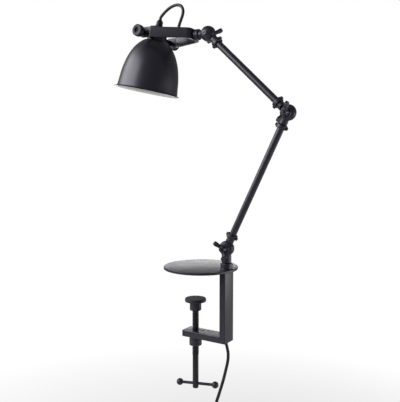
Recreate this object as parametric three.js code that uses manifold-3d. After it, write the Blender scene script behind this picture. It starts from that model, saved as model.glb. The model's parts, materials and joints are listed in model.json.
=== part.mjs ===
// Architect desk lamp with a table clamp, in millimetres, +Z up.
// The origin is the centre of the clamp disc's underside, the face that rests on the table top.
// The clamp bar stands at +X, the table edge runs along Y, and both arms move in the XZ plane.
// Every hinge turns about Y, and the head turns about its own neck.

import * as THREE from 'three';
import { mergeVertices } from 'three/addons/utils/BufferGeometryUtils.js';
import Module from 'manifold-3d';

const wasm = await Module();
wasm.setup();

// ---------- driving dimensions ----------

const GAP = 0.3;                 // clearance between pieces that touch or run in each other

// clamp frame, a welded rectangular tube
const FRAME_WIDTH = 34;          // along Y
const FRAME_DEPTH = 13;          // thickness of the bar along X and of the arm along Z
const FRAME_WALL = 2;
const BAR_X = 61;                // centre of the upright bar
const FRAME_DROP = 144;          // jaw face down to the underside of the lower arm
const ARM_REACH = 103;           // outer face of the bar to the end of the lower arm
const SCREW_INSET = 22.5;        // the arm's end to the screw
const CAP_FLANGE = 1.5;          // flange of the cap in the arm's end
const CAP_PLUG = 8;
const BUSH_HEIGHT = 10;

// disc on the table, with the fixed collar and its post
const DISC_RADIUS = 76;
const DISC_THICKNESS = 5;
const DISC_CHAMFER = 0.8;
const GROOVE_RADIUS = 48;        // turned relief groove in the disc's underside
const GROOVE_WIDTH = 1.5;
const GROOVE_DEPTH = 0.6;
const COLLAR_RADIUS = 12;
const COLLAR_HEIGHT = 12.5;
const POST_RADIUS = 6;
const POST_HEIGHT = 12;
const SPIGOT_LENGTH = 12;        // below the disc, inside the bar
const WIRE_RADIUS = 3.6;         // wire passages

// clamp screw
const SCREW_X = BAR_X + FRAME_DEPTH / 2 - ARM_REACH + SCREW_INSET;
const SCREW_RADIUS = 7;
const SCREW_THREAD_RELIEF = 0.8; // shank below the thread is this much thinner
const THREAD_LENGTH = 94;
const TABLE_THICKNESS = 64;      // jaw opening at rest
const SCREW_END_Z = -255;
const BOSS_RADIUS = 13;
const BOSS_HEIGHT = 19;
const PAD_RADIUS = 22;
const PAD_THICKNESS = 7;
const PAD_HUB_RADIUS = 12;
const PAD_HUB_HEIGHT = 18;
const TOMMY_RADIUS = 3;
const TOMMY_HALF_LENGTH = 38;    // screw axis to the ball centres when centred
const TOMMY_BALL_RADIUS = 7.2;
const TOMMY_SHIFT = 4;           // how far the bar has slid through the screw
const TOMMY_ABOVE_END = 9.5;
const TOMMY_TURN = 19;           // degrees from the X axis

// arms
const LOWER_PIVOT_Z = 46.5;
const LOWER_LENGTH = 292;
const LOWER_LEAN = 26.2;         // degrees from vertical, towards +X
const UPPER_LENGTH = 236.15;
const UPPER_LEAN = -46.87;
const TUBE_RADIUS = 6.8;
const TUBE_WALL = 1.5;

// knuckles
const BALL_RADIUS = 15.2;
const DOME_HEIGHT = 15;
const HUB_HEIGHT = 11;
const HUB_RADIUS = 10;
const CAVITY_RADIUS = 11.2;
const BOSS_WALL_RADIUS = 5.2;    // boss round the bolt inside the knuckle
const SWEEP_CLEARANCE = 0.4;
const NECK_RADIUS = 8;
const NECK_END = 23.7;
const STEM_NECK_RADIUS = 9.7;
const TUBE_SPIGOT_LENGTH = 17;
const RING_RADIUS = 10.75;
const RING_LENGTH = 8;
const BOLT_RADIUS = 2.5;
const BOLT_HEAD_RADIUS = 5.8;
const BOLT_TAIL = 24.5;
const SET_SCREW_RADIUS = 1.8;
const SET_SCREW_HEAD_RADIUS = 3.2;
const SET_SCREW_HEAD_HEIGHT = 2.2;
const WING_HUB_RADIUS = 6.6;
const WING_HUB_HEIGHT = 10;
const WING_SPAN = 41;
const WING_THICKNESS = 5.6;
const WING_HEIGHT = 17.5;
const LOWER_WING_LEAN = -45;     // how the wings stand, degrees from upright towards +X
const ELBOW_WING_LEAN = 29;
const TOP_WING_LEAN = 57;

// head: neck, swivel and yoke
const HEAD_LEAN = -87.16;        // neck direction, degrees from vertical
const YOKE_ROLL = 3.9;           // yoke turned about the neck
const HEAD_RING_START = 20.5;
const HEAD_RING_LENGTH = 10;
const YOKE_START = 31.3;         // knuckle pivot to the yoke's back face
const NIPPLE_RADIUS = 5;
const NIPPLE_TAIL = 47.3;
const NIPPLE_START = 16;
const SWIVEL_NUT_RADIUS = 9.5;
const SWIVEL_NUT_HEIGHT = 6;
const YOKE_THICKNESS = 4;
const YOKE_HEIGHT = 20.4;
const YOKE_BACK_HALF = 20.5;     // half width outside at the back plate
const YOKE_TAB_HALF = 48.5;      // half width outside at the pivots
const YOKE_SHOULDER = 108.3;     // where the arms turn parallel
const YOKE_PIVOT = 127.3;

// shade pivots and knobs
const PIN_RADIUS = 3;
const SPACER_RADIUS = 5.5;
const KNOB_NECK_RADIUS = 6;
const KNOB_NECK_LENGTH = 7.5;
const KNOB_RADIUS = 11.8;
const KNOB_LENGTH = 11;
const KNOB_RECESS_RADIUS = 4.5;
const KNOB_RECESS_DEPTH = 3;

// shade, cap and lamp
const SHADE_TILT = 8;            // shade axis from the yoke's upright
const CROWN_DROP = 6.9;          // pivot down to the shade's crown
const SHADE_HEIGHT = 106.5;
const SHADE_WALL = 1.2;
const SHADE_RIM_RADIUS = 70;
const SHADE_SKIRT_RADIUS = 64.6;
const SHADE_SHOULDER_RADIUS = 42.2;
const SHADE_TOP_RADIUS = 23;
const CAP_RADIUS = 20;
const CAP_TOP = 22;
const CAP_WALL = 2;
const GRIP_FLANGE_RADIUS = 9;
const GRIP_RADIUS = 5.2;
const GRIP_NUT_RADIUS = 7;
const GRIP_LENGTH = 15;
const HOLDER_RADIUS = 14;
const HOLDER_TOP = 14;
const HOLDER_MOUTH = -49;
const SOCKET_RADIUS = 7.2;
const SOCKET_DEPTH = 27;
const SHADE_RING_RADIUS = 19;
const SHADE_RING_HEIGHT = 4;
const BULB_RADIUS = 22.5;
const BULB_LENGTH = 51.5;        // glass below the holder
const BULB_CAP_RADIUS = 6.8;

// leads
const CORD_RADIUS = 3.1;
const CORD_SIDES = 8;
const LEAD_Y = -29;              // plane of the coil and the switch, clear of the turning tommy bar
const COIL_CENTRE = new THREE.Vector3(8, LEAD_Y + 2 * CORD_RADIUS, -394);
const COIL_MEAN_RADIUS = 30;
const COIL_LAYERS = 3;
const COIL_START = 90;           // degrees clockwise from the top where the lead joins
const TIE_LENGTH = 6;
const TIE_WALL = 1.6;
const SWITCH_LENGTH = 58;
const SWITCH_WIDTH = 24;
const SWITCH_DEPTH = 17;
const SWITCH_CENTRE = new THREE.Vector3(51, LEAD_Y, -338);
const ROCKER_LENGTH = 17;
const ROCKER_WIDTH = 11;
const ROCKER_PROUD = 2;
const ROCKER_DEPTH = 3.4;
const PLUG_LENGTH = 36;
const PLUG_WIDTH = 26;
const PLUG_DEPTH = 14;
const PLUG_PIN_RADIUS = 2;
const PLUG_PIN_LENGTH = 19;
const PLUG_PIN_SPACING = 19;
const PLUG_DROP = 40;            // coil centre down to the top of the plug

// ---------- finishes ----------

function finish(color, roughness, metalness) {
  return () => new THREE.MeshStandardMaterial({ color, roughness, metalness });
}
const powderCoat = finish(0x2b2c30, 0.55, 0.3);
const blackMetal = finish(0x1d1d20, 0.42, 0.5);
const blackPlastic = finish(0x151517, 0.5, 0);
const cordBlack = finish(0x111113, 0.6, 0);
const brightSteel = finish(0xb9bcc0, 0.3, 1);
const opalGlass = finish(0xf4f1ea, 0.25, 0);

// ---------- making solids ----------

function signedVolume(positions, triangles) {
  const corner = [new THREE.Vector3(), new THREE.Vector3(), new THREE.Vector3()];
  let volume = 0;
  for (let i = 0; i < triangles.length; i += 3) {
    corner.forEach((point, k) => point.fromArray(positions, 3 * triangles[i + k]));
    volume += corner[0].dot(corner[1].clone().cross(corner[2])) / 6;
  }
  return volume;
}

// A closed geometry as a solid, with its faces turned outwards.
function solid(geometry) {
  const bare = geometry.clone();
  bare.deleteAttribute('normal');
  bare.deleteAttribute('uv');
  const merged = mergeVertices(bare, 1e-4);
  const index = merged.index.array;
  const triangles = [];
  for (let i = 0; i < index.length; i += 3) {
    const [a, b, c] = [index[i], index[i + 1], index[i + 2]];
    if (a !== b && b !== c && c !== a) triangles.push(a, b, c);
  }
  const vertProperties = new Float32Array(merged.attributes.position.array);
  if (signedVolume(vertProperties, triangles) < 0) triangles.reverse();
  const triVerts = new Uint32Array(triangles);
  return new wasm.Manifold(new wasm.Mesh({ numProp: 3, vertProperties, triVerts }));
}

function geometryOf(manifold) {
  const mesh = manifold.getMesh();
  const geometry = new THREE.BufferGeometry();
  geometry.setAttribute('position', new THREE.BufferAttribute(mesh.vertProperties, 3));
  geometry.setIndex(new THREE.BufferAttribute(mesh.triVerts, 1));
  geometry.computeVertexNormals();
  return geometry;
}

function part(name, shape, material) {
  const mesh = new THREE.Mesh(geometryOf(shape), material());
  mesh.name = name;
  return mesh;
}

// A block between two corners.
function block(low, high) {
  const size = high.map((value, k) => value - low[k]);
  const centre = high.map((value, k) => (value + low[k]) / 2);
  return solid(new THREE.BoxGeometry(...size).translate(...centre));
}

// A round bar along Z.
function rod(radius, from, to, sides = 16) {
  const bar = new THREE.CylinderGeometry(radius, radius, to - from, sides);
  return solid(bar.rotateX(Math.PI / 2).translate(0, 0, (from + to) / 2));
}

// A profile of [radius, height] points turned about Z. It closes on the axis or on itself.
function turned(profile, sides = 16) {
  const points = profile.map(([radius, height]) => new THREE.Vector2(radius, height));
  if (profile[0][0] > 0) points.push(points[0].clone());
  return solid(new THREE.LatheGeometry(points, sides).rotateX(Math.PI / 2));
}

// Turns a solid made about Z to lie along +Y or -Y.
function alongY(shape, side = 1) {
  return shape.rotate([-90 * side, 0, 0]);
}

// Turns a solid made about Z to lie along +X.
function alongX(shape) {
  return shape.rotate([0, 90, 0]);
}

// An outline of [x, y] points extruded along Z, centred on the XY plane.
function plate(outline, thickness) {
  const shape = new THREE.Shape(outline.map(([x, y]) => new THREE.Vector2(x, y)));
  const body = new THREE.ExtrudeGeometry(shape, { depth: thickness, bevelEnabled: false });
  return solid(body.translate(0, 0, -thickness / 2));
}

// A block with its four long edges rounded, standing along Z.
function roundedBar(width, depth, from, to, radius, arcSteps = 4) {
  const outline = [];
  const corners = [[1, 1, 0], [-1, 1, 90], [-1, -1, 180], [1, -1, 270]];
  for (const [sideX, sideY, start] of corners) {
    for (let i = 0; i <= arcSteps; i += 1) {
      const angle = THREE.MathUtils.degToRad(start + (90 * i) / arcSteps);
      const x = sideX * (width / 2 - radius) + radius * Math.cos(angle);
      const y = sideY * (depth / 2 - radius) + radius * Math.sin(angle);
      outline.push([x, y]);
    }
  }
  return plate(outline, to - from).translate([0, 0, (from + to) / 2]);
}

// A cord as a tube along a smooth curve through its points.
function cordTube(points, radius, steps) {
  const curve = new THREE.CatmullRomCurve3(points, false, 'centripetal');
  const section = new THREE.Shape();
  for (let i = 0; i < CORD_SIDES; i += 1) {
    const angle = (2 * Math.PI * i) / CORD_SIDES;
    const corner = [radius * Math.cos(angle), radius * Math.sin(angle)];
    if (i === 0) section.moveTo(...corner);
    else section.lineTo(...corner);
  }
  const settings = { steps, bevelEnabled: false, extrudePath: curve };
  return solid(new THREE.ExtrudeGeometry(section, settings));
}

function group(position, ...turns) {
  const frame = new THREE.Group();
  frame.position.set(...position);
  for (const [axis, degrees] of turns) frame.rotation[axis] = THREE.MathUtils.degToRad(degrees);
  return frame;
}

const lamp = new THREE.Group();

// ---------- clamp ----------

const barHalf = FRAME_DEPTH / 2;
const barInner = BAR_X - barHalf;
const barOuter = BAR_X + barHalf;
const frameHalfWidth = FRAME_WIDTH / 2;
const cavityHalfWidth = frameHalfWidth - FRAME_WALL;
const cavityHalfDepth = barHalf - FRAME_WALL;
const armTop = -FRAME_DROP + FRAME_DEPTH;
const armEnd = barOuter - ARM_REACH;
const armMiddleZ = -FRAME_DROP + barHalf;
const screwBore = SCREW_RADIUS + GAP;

function clampFrame() {
  const bar = block([barInner, -frameHalfWidth, -FRAME_DROP], [barOuter, frameHalfWidth, 0]);
  const arm = block(
    [armEnd + CAP_FLANGE, -frameHalfWidth, -FRAME_DROP],
    [BAR_X, frameHalfWidth, armTop],
  );
  const barCavity = block(
    [BAR_X - cavityHalfDepth, -cavityHalfWidth, -FRAME_DROP - 1],
    [BAR_X + cavityHalfDepth, cavityHalfWidth, 1],
  );
  const armCavity = block(
    [armEnd, -cavityHalfWidth, armMiddleZ - cavityHalfDepth],
    [barInner, cavityHalfWidth, armMiddleZ + cavityHalfDepth],
  );
  const bore = rod(screwBore, -FRAME_DROP - 1, armTop + 1).translate([SCREW_X, 0, 0]);
  return bar.add(arm).subtract(barCavity).subtract(armCavity).subtract(bore);
}

function armEndCap() {
  const flange = block(
    [armEnd, -frameHalfWidth, -FRAME_DROP],
    [armEnd + CAP_FLANGE, frameHalfWidth, armTop],
  );
  const plug = block(
    [armEnd + CAP_FLANGE / 2, GAP - cavityHalfWidth, armMiddleZ - cavityHalfDepth + GAP],
    [armEnd + CAP_PLUG, cavityHalfWidth - GAP, armMiddleZ + cavityHalfDepth - GAP],
  );
  return flange.add(plug);
}

function barEndBush() {
  const insert = block(
    [BAR_X - cavityHalfDepth + GAP, GAP - cavityHalfWidth, -FRAME_DROP],
    [BAR_X + cavityHalfDepth - GAP, cavityHalfWidth - GAP, -FRAME_DROP + BUSH_HEIGHT],
  );
  const hole = rod(CORD_RADIUS + GAP, -FRAME_DROP - 1, -FRAME_DROP + BUSH_HEIGHT + 1);
  return insert.subtract(hole.translate([BAR_X, 0, 0]));
}

const spigotRadius = cavityHalfDepth - GAP;

function baseDisc() {
  const plain = turned([
    [0, 0],
    [DISC_RADIUS - DISC_CHAMFER, 0],
    [DISC_RADIUS, DISC_CHAMFER],
    [DISC_RADIUS, DISC_THICKNESS - DISC_CHAMFER],
    [DISC_RADIUS - DISC_CHAMFER, DISC_THICKNESS],
    [0, DISC_THICKNESS],
  ], 64);
  const groove = turned([
    [GROOVE_RADIUS, -1],
    [GROOVE_RADIUS + GROOVE_WIDTH, -1],
    [GROOVE_RADIUS + GROOVE_WIDTH, GROOVE_DEPTH],
    [GROOVE_RADIUS, GROOVE_DEPTH],
  ], 45);
  const hole = rod(spigotRadius + GAP, -1, DISC_THICKNESS + 1).translate([BAR_X, 0, 0]);
  return plain.subtract(groove).subtract(hole);
}

// The collar stands on the disc. Its spigot passes through into the bar, its post carries the stem.
function baseCollar() {
  return turned([
    [WIRE_RADIUS, -DISC_THICKNESS - SPIGOT_LENGTH],
    [spigotRadius, -DISC_THICKNESS - SPIGOT_LENGTH],
    [spigotRadius, 0],
    [COLLAR_RADIUS, 0],
    [COLLAR_RADIUS, COLLAR_HEIGHT - 1],
    [COLLAR_RADIUS - 1, COLLAR_HEIGHT],
    [POST_RADIUS, COLLAR_HEIGHT],
    [POST_RADIUS, COLLAR_HEIGHT + POST_HEIGHT],
    [WIRE_RADIUS, COLLAR_HEIGHT + POST_HEIGHT],
  ]);
}

function clampNut() {
  return turned([
    [screwBore, -FRAME_DROP],
    [screwBore, -FRAME_DROP - BOSS_HEIGHT],
    [BOSS_RADIUS - 1, -FRAME_DROP - BOSS_HEIGHT],
    [BOSS_RADIUS, -FRAME_DROP - BOSS_HEIGHT + 1],
    [BOSS_RADIUS, -FRAME_DROP],
  ]);
}

const hubBottom = -TABLE_THICKNESS - PAD_THICKNESS - PAD_HUB_HEIGHT;
const socketTop = -TABLE_THICKNESS - PAD_THICKNESS;
const pivotRadius = SCREW_RADIUS - 2;

// The screw's turned-down tip sits in the pad's socket.
function clampPad() {
  return turned([
    [0, -TABLE_THICKNESS],
    [PAD_RADIUS - 1, -TABLE_THICKNESS],
    [PAD_RADIUS, -TABLE_THICKNESS - 1],
    [PAD_RADIUS, socketTop + 1],
    [PAD_RADIUS - 1, socketTop],
    [PAD_HUB_RADIUS, socketTop - 1],
    [PAD_HUB_RADIUS, hubBottom + 1],
    [PAD_HUB_RADIUS - 1, hubBottom],
    [pivotRadius + GAP, hubBottom],
    [pivotRadius + GAP, socketTop],
    [0, socketTop],
  ]);
}

function clampScrew() {
  const shankRadius = SCREW_RADIUS - SCREW_THREAD_RELIEF;
  const threadEnd = hubBottom - GAP - THREAD_LENGTH;
  const body = turned([
    [0, socketTop - GAP],
    [pivotRadius, socketTop - GAP],
    [pivotRadius, hubBottom - GAP],
    [SCREW_RADIUS, hubBottom - GAP],
    [SCREW_RADIUS, threadEnd],
    [shankRadius, threadEnd - 1],
    [shankRadius, SCREW_END_Z + 1.5],
    [shankRadius - 1.5, SCREW_END_Z],
    [0, SCREW_END_Z],
  ]);
  const crossBore = alongX(rod(TOMMY_RADIUS + GAP, -SCREW_RADIUS - 1, SCREW_RADIUS + 1, 16));
  return body.subtract(crossBore.translate([0, 0, SCREW_END_Z + TOMMY_ABOVE_END]));
}

// One ball is turned on the bar. The other screws on after the bar is through the screw.
const looseBallCentre = TOMMY_HALF_LENGTH + TOMMY_SHIFT;
const fixedBallCentre = TOMMY_SHIFT - TOMMY_HALF_LENGTH;
const ballSeat = TOMMY_BALL_RADIUS * 0.6;

function tommyBar() {
  const bar = rod(TOMMY_RADIUS, fixedBallCentre, looseBallCentre - TOMMY_BALL_RADIUS, 12);
  const stub = rod(TOMMY_RADIUS - 1, looseBallCentre - TOMMY_BALL_RADIUS - 1, looseBallCentre, 12);
  const ball = solid(new THREE.SphereGeometry(TOMMY_BALL_RADIUS, 14, 10));
  return alongX(bar.add(stub).add(ball.translate([0, 0, fixedBallCentre])));
}

function tommyBall() {
  const ball = solid(new THREE.SphereGeometry(TOMMY_BALL_RADIUS, 14, 10));
  const seat = rod(TOMMY_RADIUS + GAP, -TOMMY_BALL_RADIUS - 1, -ballSeat, 12);
  const bore = rod(TOMMY_RADIUS - 1 + GAP, -TOMMY_BALL_RADIUS - 1, GAP, 12);
  return alongX(ball.subtract(seat).subtract(bore).translate([0, 0, looseBallCentre]));
}

const discTop = group([BAR_X, 0, DISC_THICKNESS]);
discTop.add(part('base_collar', baseCollar(), powderCoat));

const screwLine = group([SCREW_X, 0, 0]);
screwLine.add(part('clamp_nut', clampNut(), powderCoat));
screwLine.add(part('clamp_pad', clampPad(), blackMetal));

const screwFrame = group([SCREW_X, 0, 0], ['z', TOMMY_TURN]);
screwFrame.add(part('clamp_screw', clampScrew(), blackMetal));

const tommyFrame = group([SCREW_X, 0, SCREW_END_Z + TOMMY_ABOVE_END], ['z', TOMMY_TURN]);
tommyFrame.add(part('tommy_bar', tommyBar(), blackMetal));
tommyFrame.add(part('tommy_ball', tommyBall(), blackMetal));

lamp.add(
  part('clamp_frame', clampFrame(), powderCoat),
  part('arm_end_cap', armEndCap(), blackPlastic),
  part('bar_end_bush', barEndBush(), blackPlastic),
  part('base_disc', baseDisc(), powderCoat),
  discTop,
  screwLine,
  screwFrame,
  tommyFrame,
);

// ---------- knuckles ----------

const partingGap = GAP / 2;
const boltBore = BOLT_RADIUS + GAP;
const domeBase = 1.5;
const headSeat = domeBase + (DOME_HEIGHT - domeBase) * Math.sqrt(1 - (6 / BALL_RADIUS) ** 2);

// The outside of the plain half: a dome whose crown is flat where the bolt head sits.
function domeProfile() {
  const profile = [[0, partingGap], [BALL_RADIUS, partingGap], [BALL_RADIUS, domeBase]];
  const crown = Math.acos(6 / BALL_RADIUS);
  const steps = 4;
  for (let i = 1; i <= steps; i += 1) {
    const angle = (crown * i) / steps;
    const height = domeBase + (DOME_HEIGHT - domeBase) * Math.sin(angle);
    profile.push([BALL_RADIUS * Math.cos(angle), height]);
  }
  profile.push([0, headSeat]);
  return profile;
}

// The outside of the half under the wing nut: a shoulder and a round hub.
function hubProfile() {
  return [
    [0, partingGap],
    [BALL_RADIUS, partingGap],
    [BALL_RADIUS, 2.8],
    [BALL_RADIUS - 1.6, 6],
    [HUB_RADIUS + 0.2, 8.2],
    [HUB_RADIUS, HUB_HEIGHT - 0.8],
    [HUB_RADIUS - 0.8, HUB_HEIGHT],
    [0, HUB_HEIGHT],
  ];
}

// One half of a knuckle, with its pivot on the Y axis and its neck along +Z.
// side is +1 where the half lies at +Y. The neck is cut clear of the other half's sweep.
function knuckleHalf(side, profile, neckRadius, neckEnd) {
  const shell = alongY(turned(profile, 20), side);
  const edge = 0.8;
  const neck = turned([
    [0, 0],
    [neckRadius, 0],
    [neckRadius, neckEnd - edge],
    [neckRadius - edge, neckEnd],
    [0, neckEnd],
  ]);
  const cavity = alongY(turned([
    [BOSS_WALL_RADIUS, -1],
    [CAVITY_RADIUS, -1],
    [CAVITY_RADIUS - 0.4, 4.5],
    [BOSS_WALL_RADIUS, 6.5],
  ], 16), side);
  const otherHalf = alongY(rod(BALL_RADIUS + SWEEP_CLEARANCE, -DOME_HEIGHT - 8, partingGap, 20), side);
  const bore = alongY(rod(boltBore, -1, DOME_HEIGHT + 1, 12), side);
  const wireWay = rod(WIRE_RADIUS, BOSS_WALL_RADIUS + 2, neckEnd + 1, 10);
  return shell.add(neck).subtract(otherHalf).subtract(cavity).subtract(bore).subtract(wireWay);
}

// A knuckle half whose neck carries a tube on a spigot.
function tubeKnuckle(side, profile) {
  const half = knuckleHalf(side, profile, NECK_RADIUS, NECK_END);
  const spigot = turned([
    [WIRE_RADIUS, NECK_END - 2],
    [TUBE_RADIUS - TUBE_WALL - GAP, NECK_END - 2],
    [TUBE_RADIUS - TUBE_WALL - GAP, NECK_END + TUBE_SPIGOT_LENGTH],
    [WIRE_RADIUS, NECK_END + TUBE_SPIGOT_LENGTH],
  ], 12);
  return half.add(spigot);
}

// The stem stands on the post: its neck is a socket.
const stemNeckEnd = LOWER_PIVOT_Z - DISC_THICKNESS - COLLAR_HEIGHT - GAP;
const lockScrewDistance = stemNeckEnd - 6.5;

function stemKnuckle() {
  const half = knuckleHalf(-1, hubProfile(), STEM_NECK_RADIUS, stemNeckEnd);
  const postTop = stemNeckEnd + GAP - POST_HEIGHT;
  const socket = rod(POST_RADIUS + GAP, postTop - GAP, stemNeckEnd + 1);
  const screwHole = alongX(rod(SET_SCREW_RADIUS + GAP, 0, STEM_NECK_RADIUS + 1, 16));
  return half.subtract(socket).subtract(screwHole.translate([0, 0, lockScrewDistance]));
}

function knuckleBolt() {
  const shank = rod(BOLT_RADIUS, -BOLT_TAIL, headSeat + GAP + 0.5, 12);
  const head = turned([
    [0, headSeat + GAP],
    [BOLT_HEAD_RADIUS, headSeat + GAP],
    [BOLT_HEAD_RADIUS * 0.75, headSeat + 1.1],
    [BOLT_HEAD_RADIUS * 0.4, headSeat + 1.5],
    [0, headSeat + 1.6],
  ], 12);
  return alongY(shank.add(head), 1);
}

// The wing nut is made along +Z with its flange at zero and its wings spread along X.
function wingNut() {
  const hub = turned([
    [boltBore, 0],
    [WING_HUB_RADIUS + 1.2, 0],
    [WING_HUB_RADIUS, 2],
    [WING_HUB_RADIUS - 1, WING_HUB_HEIGHT],
    [boltBore, WING_HUB_HEIGHT],
  ], 14);
  const reach = WING_SPAN / 2;
  const lobe = 5;
  const outline = [[0, 1.6], [WING_HUB_RADIUS, 1.6]];
  const lobeCentre = [reach - lobe, WING_HEIGHT - lobe];
  for (let i = 0; i <= 5; i += 1) {
    const angle = THREE.MathUtils.degToRad(-50 + (190 * i) / 5);
    outline.push([lobeCentre[0] + lobe * Math.cos(angle), lobeCentre[1] + lobe * Math.sin(angle)]);
  }
  outline.push([WING_HUB_RADIUS - 1, WING_HUB_HEIGHT * 0.8], [0, WING_HUB_HEIGHT * 0.8]);
  const wing = plate(outline, WING_THICKNESS).rotate([90, 0, 0]);
  const bore = rod(boltBore, -1, WING_HEIGHT + 1, 10);
  return hub.add(wing).add(wing.mirror([1, 0, 0])).subtract(bore);
}

const wingSeat = HUB_HEIGHT + GAP;

// A wing nut on the bolt of a knuckle. side is the side it sits on.
function wingFrame(side, lean) {
  const frame = group([0, side * wingSeat, 0], ['x', -90 * side], ['y', lean - 90]);
  frame.rotation.order = 'YXZ';
  return frame;
}

const ringStart = NECK_END + GAP;

function tubeRing() {
  const edge = 0.7;
  const ring = turned([
    [TUBE_RADIUS + GAP, 0],
    [RING_RADIUS - edge, 0],
    [RING_RADIUS, edge],
    [RING_RADIUS, RING_LENGTH - edge],
    [RING_RADIUS - edge, RING_LENGTH],
    [TUBE_RADIUS + GAP, RING_LENGTH],
  ]);
  const hole = alongX(rod(SET_SCREW_RADIUS + GAP, 0, RING_RADIUS + 1, 10));
  return ring.subtract(hole.translate([0, 0, RING_LENGTH / 2]));
}

// A cheese-head screw along +X that ends at tip and seats on a surface at seat.
function radialScrew(tip, seat) {
  const shank = rod(SET_SCREW_RADIUS, tip, seat + GAP + 0.5, 10);
  const head = turned([
    [0, seat + GAP],
    [SET_SCREW_HEAD_RADIUS, seat + GAP],
    [SET_SCREW_HEAD_RADIUS, seat + SET_SCREW_HEAD_HEIGHT - 0.5],
    [SET_SCREW_HEAD_RADIUS - 0.5, seat + SET_SCREW_HEAD_HEIGHT],
    [0, seat + SET_SCREW_HEAD_HEIGHT],
  ], 14);
  return alongX(shank.add(head));
}

// ---------- stem and lower arm ----------

const lowerPivot = [BAR_X, 0, LOWER_PIVOT_Z];
const stemFrame = group(lowerPivot, ['y', 180]);
stemFrame.add(part('stem_knuckle', stemKnuckle(), blackMetal));

const lockFrame = group([0, 0, lockScrewDistance]);
lockFrame.add(part('stem_lock_screw', radialScrew(POST_RADIUS + GAP, STEM_NECK_RADIUS), blackMetal));
stemFrame.add(lockFrame);

function tube(length) {
  const end = length - NECK_END - GAP;
  return turned([
    [TUBE_RADIUS - TUBE_WALL, ringStart],
    [TUBE_RADIUS, ringStart],
    [TUBE_RADIUS, end],
    [TUBE_RADIUS - TUBE_WALL, end],
  ]);
}

// The lead inside an arm rests on the lower side of its tube.
function armLead(length) {
  const spigotEnd = NECK_END + TUBE_SPIGOT_LENGTH + GAP;
  const lead = rod(CORD_RADIUS, spigotEnd, length - spigotEnd, CORD_SIDES);
  return lead.translate([TUBE_RADIUS - TUBE_WALL - GAP - CORD_RADIUS, 0, 0]);
}

// Everything that moves with one arm: a knuckle half, ring and screw at each end, and the tube.
function arm(name, length, startHalf, endHalf, pivot, lean) {
  const frame = group(pivot, ['y', lean]);
  const far = group([0, 0, length], ['x', 180]);
  frame.add(part(`${name}_start_knuckle`, startHalf, blackMetal));
  far.add(part(`${name}_end_knuckle`, endHalf, blackMetal));
  for (const [end, label] of [[frame, 'start'], [far, 'end']]) {
    const ringFrame = group([0, 0, ringStart]);
    ringFrame.add(part(`${name}_${label}_ring`, tubeRing(), blackMetal));
    const screwPlace = group([0, 0, ringStart + RING_LENGTH / 2]);
    const screw = radialScrew(TUBE_RADIUS + GAP, RING_RADIUS);
    screwPlace.add(part(`${name}_${label}_set_screw`, screw, blackMetal));
    end.add(ringFrame, screwPlace);
  }
  frame.add(part(`${name}_tube`, tube(length), powderCoat));
  frame.add(part(`${name}_lead`, armLead(length), cordBlack));
  frame.add(far);
  return frame;
}

function alongArm(start, length, lean) {
  const angle = THREE.MathUtils.degToRad(lean);
  return [start[0] + length * Math.sin(angle), 0, start[2] + length * Math.cos(angle)];
}

// A far group is turned over about X, so a half that lies at +Y is made with side -1 there.
const elbowPivot = alongArm(lowerPivot, LOWER_LENGTH, LOWER_LEAN);
const topPivot = alongArm(elbowPivot, UPPER_LENGTH, UPPER_LEAN);
const lowerArm = arm(
  'lower_arm', LOWER_LENGTH,
  tubeKnuckle(1, domeProfile()), tubeKnuckle(1, hubProfile()), lowerPivot, LOWER_LEAN,
);
const upperArm = arm(
  'upper_arm', UPPER_LENGTH,
  tubeKnuckle(1, domeProfile()), tubeKnuckle(-1, hubProfile()), elbowPivot, UPPER_LEAN,
);

// The bolt of each knuckle is held by the domed half, with the wing nut at the hub side.
function knuckleHardware(name, pivot, domeSide, wingLean) {
  const frame = group(pivot);
  const boltFrame = group([0, 0, 0], ['z', domeSide > 0 ? 0 : 180]);
  boltFrame.add(part(`${name}_bolt`, knuckleBolt(), blackMetal));
  const wing = wingFrame(-domeSide, wingLean);
  wing.add(part(`${name}_wing_nut`, wingNut(), blackMetal));
  frame.add(boltFrame, wing);
  return frame;
}

lamp.add(
  stemFrame,
  lowerArm,
  upperArm,
  knuckleHardware('lower', lowerPivot, 1, LOWER_WING_LEAN),
  knuckleHardware('elbow', elbowPivot, 1, ELBOW_WING_LEAN),
  knuckleHardware('top', topPivot, -1, TOP_WING_LEAN),
);

// ---------- head ----------

function headKnuckle() {
  const half = knuckleHalf(-1, domeProfile(), NECK_RADIUS, YOKE_START - 2.5);
  return half.subtract(rod(NIPPLE_RADIUS + GAP, NIPPLE_START - GAP, YOKE_START, 16));
}

function headRing() {
  const edge = 0.8;
  return turned([
    [NECK_RADIUS + GAP, 0],
    [RING_RADIUS - edge, 0],
    [RING_RADIUS, edge],
    [RING_RADIUS, HEAD_RING_LENGTH - edge],
    [RING_RADIUS - edge, HEAD_RING_LENGTH],
    [NECK_RADIUS + GAP, HEAD_RING_LENGTH],
  ]);
}

function swivelNipple() {
  return turned([
    [CORD_RADIUS + GAP, NIPPLE_START],
    [NIPPLE_RADIUS, NIPPLE_START],
    [NIPPLE_RADIUS, NIPPLE_TAIL],
    [CORD_RADIUS + GAP, NIPPLE_TAIL],
  ], 16);
}

const backInside = YOKE_START + YOKE_THICKNESS;

function swivelNut() {
  const nut = rod(SWIVEL_NUT_RADIUS, backInside + GAP, backInside + GAP + SWIVEL_NUT_HEIGHT, 6);
  return nut.subtract(rod(NIPPLE_RADIUS + GAP, YOKE_START, NIPPLE_TAIL + 1));
}

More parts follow.
